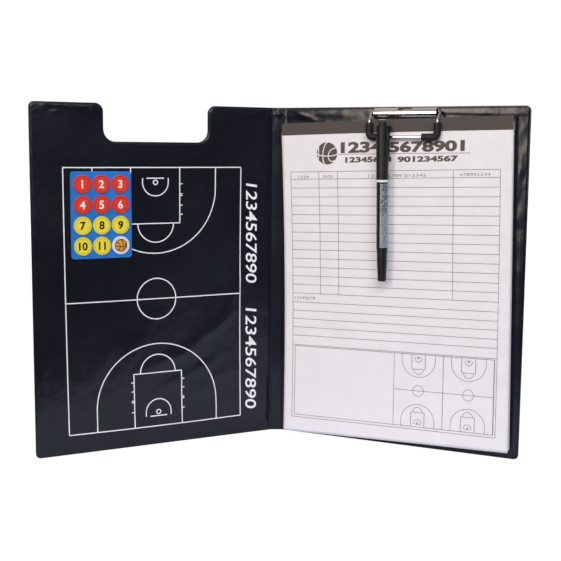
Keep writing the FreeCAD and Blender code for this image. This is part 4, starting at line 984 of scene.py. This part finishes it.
def studio(stage):
    """The room round the object: dim low down, lighter overhead and behind, warm on the left and cool on the
    right. The camera sees it white, and so do mirrors that look at the wall behind the object."""
    world = bpy.data.worlds.new("studio")
    world.use_nodes = True
    tree = world.node_tree
    tree.nodes.clear()
    place = add(tree, "TexCoord", out="Generated")
    x, y, z = (add(tree, "SeparateXYZ", None, {"Vector": place}, way) for way in "XYZ")
    rise = add(tree, "MapRange", {"From Min": 0.30, "From Max": 0.65, "To Min": 0.10, "To Max": 0.75},
               {"Value": z})
    behind = add(tree, "MapRange", {"From Min": 0.1, "From Max": 0.7, "To Max": 0.30}, {"Value": y})
    level = add(tree, "Math", None, {0: rise, 1: behind}, operation="ADD")
    across = add(tree, "MapRange", {"From Min": -0.3, "From Max": 0.3}, {"Value": x})
    tone = add(tree, "Mix", {6: stage.sky, 7: stage.sky_cool}, {0: across}, 2, data_type="RGBA")
    room = add(tree, "Background", None, {"Color": tone, "Strength": level})
    white = add(tree, "Background", {"Color": (1.0, 1.0, 1.0, 1.0), "Strength": 1.0})
    camera, mirror, through = (add(tree, "LightPath", out=f"Is {ray} Ray")
                               for ray in ("Camera", "Glossy", "Transmission"))
    wall = add(tree, "MapRange", {"From Min": 0.7, "From Max": 0.9}, {"Value": y})
    wall = add(tree, "Math", None, {0: wall, 1: mirror}, operation="MULTIPLY")
    seen = add(tree, "Math", None, {0: camera, 1: through}, operation="MAXIMUM")
    seen = add(tree, "Math", None, {0: seen, 1: wall}, operation="MAXIMUM")
    both = add(tree, "MixShader", None, {0: seen, 1: room, 2: white})
    add(tree, "OutputWorld", links={"Surface": both})
    return world


# Operators


def coat(finish, *names):
    """Give carried-over CAD nodes a finish."""
    for name in names:
        slots = frame["nodes"][name].data.materials
        slots.clear()
        slots.append(finish)


class BOARD_OT_covers(bpy.types.Operator):
    """Vinyl skins of both covers, the spine and the two creases, with the stiff cores inside them"""
    bl_idname = "board.covers"
    bl_label = "Covers and spine"

    def execute(self, context):
        cover, pad = context.scene.board_cover, context.scene.board_pad
        vinyl = calendered_vinyl(cover, "calendered_pvc_vinyl", (0.18, 0.30))
        flexed = calendered_vinyl(cover, "flexed_pvc_vinyl", (0.24, 0.34))
        for side in (-1, 1):
            for inner in (True, False):
                cover_skin(cover, side, inner, vinyl)
            crease_strip(cover, side, flexed)
        spine_tube(cover, flexed)
        # Pressed waste-paper board: dull grey with flecks about 3 mm wide.
        board = mottled("grey_pasteboard", shade(pad.greyboard, 0.8), pad.greyboard, 3, (0.85, 0.95), 0.6,
                        0.05, IOR=1.45)
        coat(board, "left_board", "right_board", "spine_strip")
        # Tinned steel sheet: bright grey with a soft rolled haze.
        tin = mottled("tinned_steel_sheet", linear("#A9ABAC"), linear("#C6C8C8"), 25, (0.25, 0.4), 1.2, 0.01,
                      Metallic=1.0)
        coat(tin, "left_steel_sheet")
        return {"FINISHED"}


class BOARD_OT_court(bpy.types.Operator):
    """White court on the left cover, and the tall numbers beside it"""
    bl_idname = "board.court"
    bl_label = "Printed court"

    def execute(self, context):
        cover, court = context.scene.board_cover, context.scene.board_court
        # Screen ink on vinyl: a thin satin white film, thinner in places so that the dark ground greys it.
        ink = mottled("white_screen_ink", shade(court.ink, 0.96), court.ink, 7, (0.42, 0.55), 0.8, 0.01,
                      IOR=1.48)

        def lay(u, z, height):
            return on_cover(-1, u, cover_height(cover, -1, u, z, LEFT_CRUMPLES, 0.0) + 0.04 * MM + height, z)

        half = (court.far - court.near) / 2
        paths = []
        for path, ring in court_paths(court, court.near + half, court.foot, court.head, half, 1.0):
            a, b = ((path - (court.near, court.foot)) / (2 * half, court.head - court.foot)).T
            bowed = 4 * a * (1 - a) * (1 - b) * court.bow
            sway = 4 * b * (1 - b) * (court.sway_near + (court.sway_far - court.sway_near) * a)
            paths.append((between(COURT, a, b) + np.stack([sway - 1.5 * bowed, -bowed], axis=1), ring))
        dress("court_lines", *strips(paths, court.line, lay), ink, "white_ink", "left_leaf", ["court_print"],
              smooth=False)
        for name, head, foot in SIDE_NUMBERS:
            points, faces = number_shape("1234567890", slant=0.12, weight=0.008)
            stretch = (head - foot) * MM / np.ptp(points[:, 0])
            z = (head + foot) / 2 * MM - points[:, 0] * stretch
            u = court.column - points[:, 1] * court.digit
            points = lay(u, z, points[:, 2] * 2 * INK + 0.06 * MM)
            dress(f"side_numbers_{name}", points, faces, ink, "white_ink", "left_leaf", smooth=False)
        return {"FINISHED"}


class BOARD_OT_counters(bpy.types.Operator):
    """Magnet card, its twelve counters, their numbers and the ball"""
    bl_idname = "board.counters"
    bl_label = "Magnet card and counters"

    def execute(self, context):
        counter = context.scene.board_counter
        # Flexible magnet sheet with a printed vinyl face: satin, a little uneven.
        card = mottled("printed_magnet_sheet_blue", shade(counter.card, 0.9), counter.card, 9, (0.36, 0.5),
                       0.7, 0.015, IOR=1.5)
        red, yellow, white = (counter_sheet(f"pressed_magnet_sheet_{name}", getattr(counter, name))
                              for name in ("red", "yellow", "white"))
        # Print on the counters: thin glossy ink, evenly laid.
        pale, dark, amber = (
            mottled(f"counter_ink_{name}", shade(tone, 0.92), tone, 3, (0.35, 0.45), 0.5, 0.005, IOR=1.5)
            for name, tone in ((name, getattr(counter, name)) for name in ("white", "black", "amber")))
        coat(card, "magnet_card")
        for number in range(1, 12):
            name = f"counter_{number:02d}"
            coat(red if number < 7 else yellow, name)
            u, z, _, top = place_of(name, -1)
            points, faces = number_shape(str(number))
            size = points * counter.digit
            points = on_cover(-1, u - size[:, 0], top + points[:, 2] * 2 * INK, z + size[:, 1])
            ink = pale if number < 7 else dark
            dress(f"{name}_number", points, faces, ink, "counter_white", name, smooth=False)
        coat(white, "counter_ball")
        u, z, _, top = place_of("counter_ball", -1)

        def lay(at, up, height):
            return on_cover(-1, *np.broadcast_arrays(at, top + height, up))

        printed_ball("counter_ball", "counter_ball_print", (u, z), counter.ball, lay, amber, dark, 0.7 * MM,
                     ("counter_yellow", "counter_white"), "counter_ball", [arc(u, z, counter.ball)])
        return {"FINISHED"}


class BOARD_OT_pad(bpy.types.Operator):
    """Planner pad with its fanned sheets, its binding and the printing on its top sheet"""
    bl_idname = "board.pad"
    bl_label = "Planner pad"

    def execute(self, context):
        pad, court = context.scene.board_pad, context.scene.board_court
        # Wood-free writing paper: soft white with a faint fibre cloud and no gloss.
        paper = mottled("writing_paper", shade(pad.paper, 0.95), pad.paper, 14, (0.82, 0.92), 0.8, 0.012,
                        IOR=1.45)
        # Offset ink soaked into paper: matte, a little broken by the fibres.
        rule = mottled("offset_ink_ruling", shade(pad.rule, 0.85), shade(pad.rule, 1.1), 4, (0.8, 0.9), 0.6,
                       0.005, IOR=1.45)
        heading = mottled("offset_ink_heading", shade(pad.heading, 0.8), shade(pad.heading, 1.2), 2,
                          (0.75, 0.9), 0.6, 0.005, IOR=1.45)
        binding_strip(pad, woven_binding(pad))
        seat = place_of("pad_top_sheet", 1)[3]
        stack = place_of("pad_sheets", 1)[3]
        _, _, rest, card = place_of("pad_backing", 1)
        pad_stack(pad, "pad_backing", "planner_backing", rest, card, (-pad.fan, -pad.fan), 3,
                  bpy.data.materials["grey_pasteboard"], "greyboard")
        pad_stack(pad, "pad_sheets", "planner_sheets", card, stack, (-pad.fan, -0.6 * pad.fan), 25,
                  sheet_edges(pad), "paper")
        top_sheet(pad, seat, paper)

        def lay(u, z, height):
            return on_cover(1, *np.broadcast_arrays(u, seat + sheet_height(pad, u, z) + height, z))

        ruling = strips(sheet_ruling(court), pad.line, lay)
        dress("sheet_ruling", *ruling, rule, "paper", "right_leaf", smooth=False)
        printed_numbers("sheet_title", SHEET_TITLE, pad.skew, lay, heading)
        printed_numbers("sheet_column_names", COLUMN_NAMES, pad.skew, lay, rule)
        title_rule = strips([line(*TITLE_RULE)], pad.line, lay)
        dress("sheet_title_rule", *title_rule, rule, "paper", "right_leaf", smooth=False)
        printed_ball("sheet_ball", "sheet_ball", TITLE_BALL, pad.ball, lay, heading, paper, 0.9 * MM,
                     ("paper", "paper"), "right_leaf", [])
        return {"FINISHED"}


class BOARD_OT_hardware(bpy.types.Operator):
    """Wire clip with its sleeves, and the marker that hangs on it"""
    bl_idname = "board.hardware"
    bl_label = "Clip and marker"

    def execute(self, context):
        hardware = context.scene.board_hardware
        coat(bright_nickel(hardware), "clip_base", "clip_rivets", "rivet_washers", "clip_bail")
        # Dipped soft PVC: deep black with a soft sheen.
        sleeve = mottled("dipped_black_pvc", shade(hardware.sleeve, 0.8), shade(hardware.sleeve, 1.3), 4,
                         (0.60, 0.72), 0.8, 0.01, IOR=1.5)
        coat(sleeve, "bail_sleeve_left", "bail_sleeve_right")
        # Moulded polypropylene with a fine spark-eroded texture, 0.2 mm, drawn at 0.5 mm because it is too
        # fine to show.
        black = mottled("moulded_black_polypropylene", shade(hardware.cap, 0.85), shade(hardware.cap, 1.15),
                        6, (0.38, 0.5), 0.5, 0.012, IOR=1.49)
        coat(black, "pen_cap", "pen_barrel", "pen_end_cap")
        white = mottled("moulded_white_polypropylene", shade(hardware.collar, 0.93), hardware.collar, 5,
                        (0.35, 0.45), 0.6, 0.006, IOR=1.49)
        coat(white, "pen_collar", "pen_tip_holder", "pen_fine_holder")
        coat(printed_film(hardware), "pen_label")
        # Pressed polyester felt, soaked with ink: dull, fibrous.
        felt = mottled("inked_felt", linear("#101012"), linear("#26262A"), 0.8, (0.85, 0.95), 0.3, 0.05,
                       IOR=1.45)
        coat(felt, "pen_tip", "pen_fine_tip", "pen_reservoir")
        return {"FINISHED"}


class BOARD_OT_stage(bpy.types.Operator):
    """White floor, soft light and the camera"""
    bl_idname = "board.stage"
    bl_label = "Floor, lights and camera"

    def execute(self, context):
        scene, stage = context.scene, context.scene.board_stage
        scene.view_settings.view_transform = "Standard"
        ground = np.array(((-4, -4, 0), (4, -4, 0), (4, 4, 0), (-4, 4, 0)), dtype=float)
        mesh = bpy.data.meshes.new("floor")
        mesh.from_pydata(ground.tolist(), [], [[0, 1, 2, 3]])
        mesh.materials.append(paper_floor(stage))
        floor = bpy.data.objects.new("floor", mesh)
        scene.collection.objects.link(floor)
        floor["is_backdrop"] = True
        scene.world = studio(stage)

        aim = np.array((0.0, -0.05, 0.16))
        for name, way, far, wide, tall in LAMPS:
            data = bpy.data.lights.new(name, "AREA")
            data.shape = "RECTANGLE"
            data.size = wide
            data.size_y = tall
            data.energy = getattr(stage, f"{name}_power")
            data.color = getattr(stage, name)[:3]
            lamp = bpy.data.objects.new(name, data)
            way = np.array(way) / np.linalg.norm(way)
            lamp.location = (aim + far * way).tolist()
            lamp.rotation_euler = (float(np.arccos(way[2])), 0.0, float(np.arctan2(way[0], -way[1])))
            scene.collection.objects.link(lamp)

        data = bpy.data.cameras.new("camera")
        data.sensor_width = 36.0
        data.lens = stage.lens
        camera = bpy.data.objects.new("camera", data)
        camera.location = stage.camera_at
        camera.rotation_euler = stage.camera_turn
        scene.collection.objects.link(camera)
        scene.camera = camera
        return {"FINISHED"}


STEPS = (BOARD_OT_covers, BOARD_OT_court, BOARD_OT_counters, BOARD_OT_pad, BOARD_OT_hardware, BOARD_OT_stage)


class BOARD_PT_panel(bpy.types.Panel):
    """Lists the steps that dress the tactics board"""
    bl_idname = "BOARD_PT_panel"
    bl_label = "Tactics board"
    bl_space_type = "VIEW_3D"
    bl_region_type = "UI"
    bl_category = "Tactics board"

    def draw(self, context):
        for step in STEPS:
            self.layout.operator(step.bl_idname)


SETTINGS = {"board_cover": CoverSettings, "board_court": CourtSettings, "board_counter": CounterSettings,
            "board_pad": PadSettings, "board_hardware": HardwareSettings, "board_stage": StageSettings}


def register():
    """Make the settings, operators and panel known, and hang the settings on the scene."""
    for kind in (*SETTINGS.values(), *STEPS, BOARD_PT_panel):
        bpy.utils.register_class(kind)
    for name, kind in SETTINGS.items():
        setattr(bpy.types.Scene, name, PointerProperty(type=kind))


def unregister():
    """Take away what register() made, in the opposite order."""
    for name in SETTINGS:
        delattr(bpy.types.Scene, name)
    for kind in (BOARD_PT_panel, *reversed(STEPS), *reversed(SETTINGS.values())):
        bpy.utils.unregister_class(kind)


def main():
    """Dress the whole board, step by step, and work out the CAD box and the visual model's box."""
    register()
    bpy.ops.board.covers()
    bpy.ops.board.court()
    bpy.ops.board.counters()
    bpy.ops.board.pad()
    bpy.ops.board.hardware()
    bpy.ops.board.stage()
    boxes = {name: [list(corner) for corner in corners] for name, corners in
             (("cad", CAD_BOX), ("visual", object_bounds()))}


if __name__ == "__main__":
    main()
